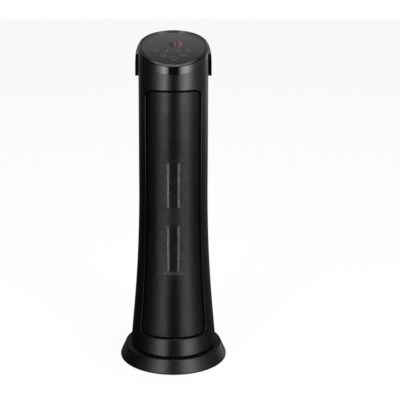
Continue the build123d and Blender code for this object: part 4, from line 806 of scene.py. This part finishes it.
def buildBezel():
    shape = bmesh.new()
    loops = []
    inner, ledge, shadeLift, low, bevel = (bezel[name] for name in ("inner", "ledge", "shadeBandLift", "low", "bevel"))
    for i in range(bezel["turns"]):
        angle = 2 * math.pi * (i + 0.5) / bezel["turns"]
        toward = (math.sin(angle), -math.cos(angle))
        outer = bezel["frontOuter"] if toward[1] < 0 else bezel["backOuter"]
        back = (1 + toward[1]) / 2
        inside, outside = (a + (b - a) * back for a, b in zip(bezel["frontShadeBand"], bezel["backShadeBand"]))
        rise = bezel["frontRise"] + (bezel["backRise"] - bezel["frontRise"]) * back
        section = [(inner, -bezel["sink"]), (inner, ledge), (inside, ledge), (inside, shadeLift), (outside, shadeLift),
                   (outside, rise - bevel), (outside + bevel, rise),
                   (outer - bezel["lipWide"], low + bezel["lipHigh"]), (outer, low), (outer, -bezel["sink"])]
        loop = []
        for radius, lift in section:
            x, y = radius * toward[0], radius * toward[1]
            loop.append(shape.verts.new((x / 1000, y / 1000, (crownHeight(y) + lift) / 1000)))
        loops.append(loop)
    for row in bridge(shape, loops):
        for i, face in enumerate(row):
            # the band's inner wall and top take the near-black painted shade
            face.material_index = 0 if i < 2 else 1 if i < 4 else 2
    piece = pieceFrom(shape, "panelBezel", ("smokedAcrylic", "paintedShadeBlack", "polishedAbs"),
                      bezel["sharp"])
    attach(piece, "tower")


buildBezel()
print("bezel ready")

# display film: a rounded oblong under the figures, laid on the crown
film = {"middle": (4.6, 7.6), "wide": 25.0, "high": 20.0, "corner": 2.0, "turns": 6, "rows": 10,
        "lift": 0.012, "sheet": 0.1}


def buildFilmPatch():
    # flat outline of the oblong, cut into rows so that it can follow the crown
    corner, turns, sheet = film["corner"], film["turns"], film["sheet"]
    straight = film["high"] / 2 - corner
    levels = [straight + corner * math.cos(math.pi / 2 * i / turns) for i in range(turns + 1)]
    levels += [straight * (1 - 2 * i / film["rows"]) for i in range(1, film["rows"])]
    levels += [-level for level in reversed(levels[:turns + 1])]
    shape = bmesh.new()
    rings = []
    for level in levels:
        over = max(abs(level) - straight, 0)
        half = film["wide"] / 2 - corner + math.sqrt(corner ** 2 - over ** 2)
        y = film["middle"][1] + level
        top = crownHeight(y) - panelFace["sink"] + film["lift"]
        rings.append([shape.verts.new(((film["middle"][0] + x) / 1000, y / 1000, (top - depth) / 1000))
                      for x, depth in ((-half, 0), (half, 0), (half, sheet), (-half, sheet))])
    bridge(shape, rings, closed=False)
    piece = pieceFrom(shape, "displayFilm", ("tintedFilm",))
    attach(piece, "tower")


buildFilmPatch()
print("display film ready")

# hood: its two front ends stop flat at a height, and lean back above it, where they catch the ceiling
hoodEnd = {"flatTop": 576.5, "edgeTop": 593.5, "tilt": 18.2, "reach": 60.0, "sharp": 28, "weld": 0.001}


def shapeHood():
    shape = bmesh.new()
    shape.from_mesh(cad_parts["rear_hood"].data)
    weld = hoodEnd["weld"] / 1000
    bmesh.ops.remove_doubles(shape, verts=shape.verts, dist=weld)
    bmesh.ops.bisect_plane(shape, geom=shape.verts[:] + shape.edges[:] + shape.faces[:], dist=weld,
                           plane_co=(0, 0, hoodEnd["flatTop"] / 1000), plane_no=(0, 0, 1))
    slope = math.tan(math.radians(hoodEnd["tilt"]))
    high = hoodEnd["edgeTop"] - hoodEnd["flatTop"]
    deep = high / (1 - slope)
    for point in shape.verts:
        x, y, z = (1000 * part for part in point.co)
        if z <= hoodEnd["flatTop"] or y >= hoodEnd["reach"]:
            continue
        # the ends slide back round the axis and along the slanted top
        share = min((z - hoodEnd["flatTop"]) / (high + y * slope), 1.0) * (1 - y / hoodEnd["reach"])
        newY = y + share * deep
        newX = math.copysign(math.sqrt(max(x * x + y * y - newY * newY, 0)), x)
        point.co = (newX / 1000, newY / 1000, (z + share * (deep - high)) / 1000)
    bmesh.ops.triangulate(shape, faces=[face for face in shape.faces if len(face.verts) > 3])
    piece = pieceFrom(shape, "slantedHood", ("polishedAbs",), hoodEnd["sharp"])
    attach(piece, "tower")
    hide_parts("rear_hood")


shapeHood()
print("hood ready")

# seam lips: upright tongues behind the two seams of the casing, so that no light passes between its halves
seamLip = {"wall": 2.5, "gap": 0.05, "sheet": 0.8, "half": 3.0, "low": 31.0, "high": 574.0, "rises": 60}


def buildSeamLips():
    shape = bmesh.new()
    for side in (-1, 1):
        rings = []
        for i in range(seamLip["rises"] + 1):
            z = seamLip["low"] + (seamLip["high"] - seamLip["low"]) * i / seamLip["rises"]
            outside = casingRadius(z) - seamLip["wall"] - seamLip["gap"]
            ring = []
            for along, depth in ((-1, 0), (1, 0), (1, 1), (-1, 1)):
                y = along * seamLip["half"]
                x = side * math.sqrt((outside - depth * seamLip["sheet"]) ** 2 - y ** 2)
                ring.append(shape.verts.new((x / 1000, y / 1000, z / 1000)))
            rings.append(ring)
        bridge(shape, rings, closed=False)
    piece = pieceFrom(shape, "seamLips", ("grainedAbs",))
    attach(piece, "tower")


buildSeamLips()
print("seam lips ready")

# heater fins: three folded packs beside and between the tubes, at their true fine pitch
# each pack has its place on X and its width
finPacks = {"pitch": 2.1, "Depth": 11.4, "Sheet": 0.25, "low": 182.4, "high": 387.6, "front": -39.7,
            "packs": ((-19.05, 14.2), (0.0, 15.0), (19.05, 14.2)), "weld": 0.001}


def buildFinTree():
    tree, given = newTree("finPackTree", ("Depth", "Sheet", "Length"), ("Rows",))
    # an upright strip, one millimetre wide, whose rows step from side to side
    strip = addNode(tree, "MeshGrid", {
        "Size X": given["Depth"], "Size Y": given["Length"], "Vertices X": 2, "Vertices Y": given["Rows"]})
    side = addNode(tree, "Math", [rowParity(tree, given["Rows"]), 0.5], operation="SUBTRACT")
    flat = addNode(tree, "SeparateXYZ", [addNode(tree, "InputPosition")]).outputs
    turned = addNode(tree, "CombineXYZ", [side, flat["X"], flat["Y"]])
    folded = addNode(tree, "SetPosition", {"Geometry": strip, "Position": turned})
    # one strip stands on each point of the carrier, as wide as the point's width says
    wide = addNode(tree, "InputNamedAttribute", {"Name": "wide"}, data_type="FLOAT")
    stretch = addNode(tree, "CombineXYZ", [wide.outputs["Attribute"], 1.0, 1.0])
    packs = addNode(tree, "InstanceOnPoints", {
        "Points": given["Geometry"], "Instance": folded, "Scale": stretch})
    sheets = addNode(tree, "RealizeInstances", [packs])
    return endTree(tree, thicken(tree, sheets, given["Sheet"], finPacks["weld"]), given)


def buildFins():
    low, high = finPacks["low"], finPacks["high"]
    places = bpy.data.meshes.new("finPlaces")
    middle = (finPacks["front"] + finPacks["Depth"] / 2, (high + low) / 2)
    places.from_pydata([(x, *middle) for x, wide in finPacks["packs"]], [], [])
    widths = places.attributes.new("wide", "FLOAT", "POINT")
    for item, (x, wide) in zip(widths.data, finPacks["packs"]):
        item.value = wide
    folds = 2 * int((high - low) / finPacks["pitch"]) + 1
    fins = runTree("heaterFinPacks", buildFinTree(), {
        **finPacks, "Length": high - low, "Rows": folds, "Finish": finish["bakedAluminium"]}, places)
    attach(fins, "tower")
    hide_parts("heater_fins")
    print("fin packs ready,", len(fins.data.polygons), "faces")


buildFins()

finishOf = {
    "satinAbs": ["base_cover", "front_shell", "control_deck"],
    "polishedAbs": ["cap", "infrared_receiver", "switch_rocker", "rear_hood"],
    "grainedAbs": ["rear_shell", "base_plate", "tower_floor", "switch_housing", "tip_switch"],
    "glassFilledNylon": ["blower_duct", "heater_frame", "blower_wheel"],
    "smokedAcrylic": ["touch_panel"],
    "powderCoatedSteel": ["mesh_panel"],
    "mouldedRubber": ["rubber_feet", "cord_bush", "top_bearing"],
    "zincPlatedSteel": ["base_screws", "hub_screws", "shell_screws", "swing_motor", "motor_shaft",
                        "wheel_shaft", "wheel_stub", "heater_clip"],
    "passivatedSteel": ["blower_motor"],
    "etchedAluminium": ["ptc_bars"],
    "bakedAluminium": ["heater_fins"],
    "dieCastAluminium": ["thermal_cutout"],
    "firedBariumTitanate": ["ceramic_stones"],
    "naturalAcetal": ["turntable_ring", "drive_pinion", "tip_plunger", "hub_retainer", "gear_sector"],
    "glassEpoxyBoard": ["display_board", "power_board"],
    "castEpoxy": ["led_display"],
}
for finishName, nodeNames in finishOf.items():
    for nodeName in nodeNames:
        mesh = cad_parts[nodeName].data
        mesh.materials.clear()
        mesh.materials.append(finish[finishName])
print("finishes set")
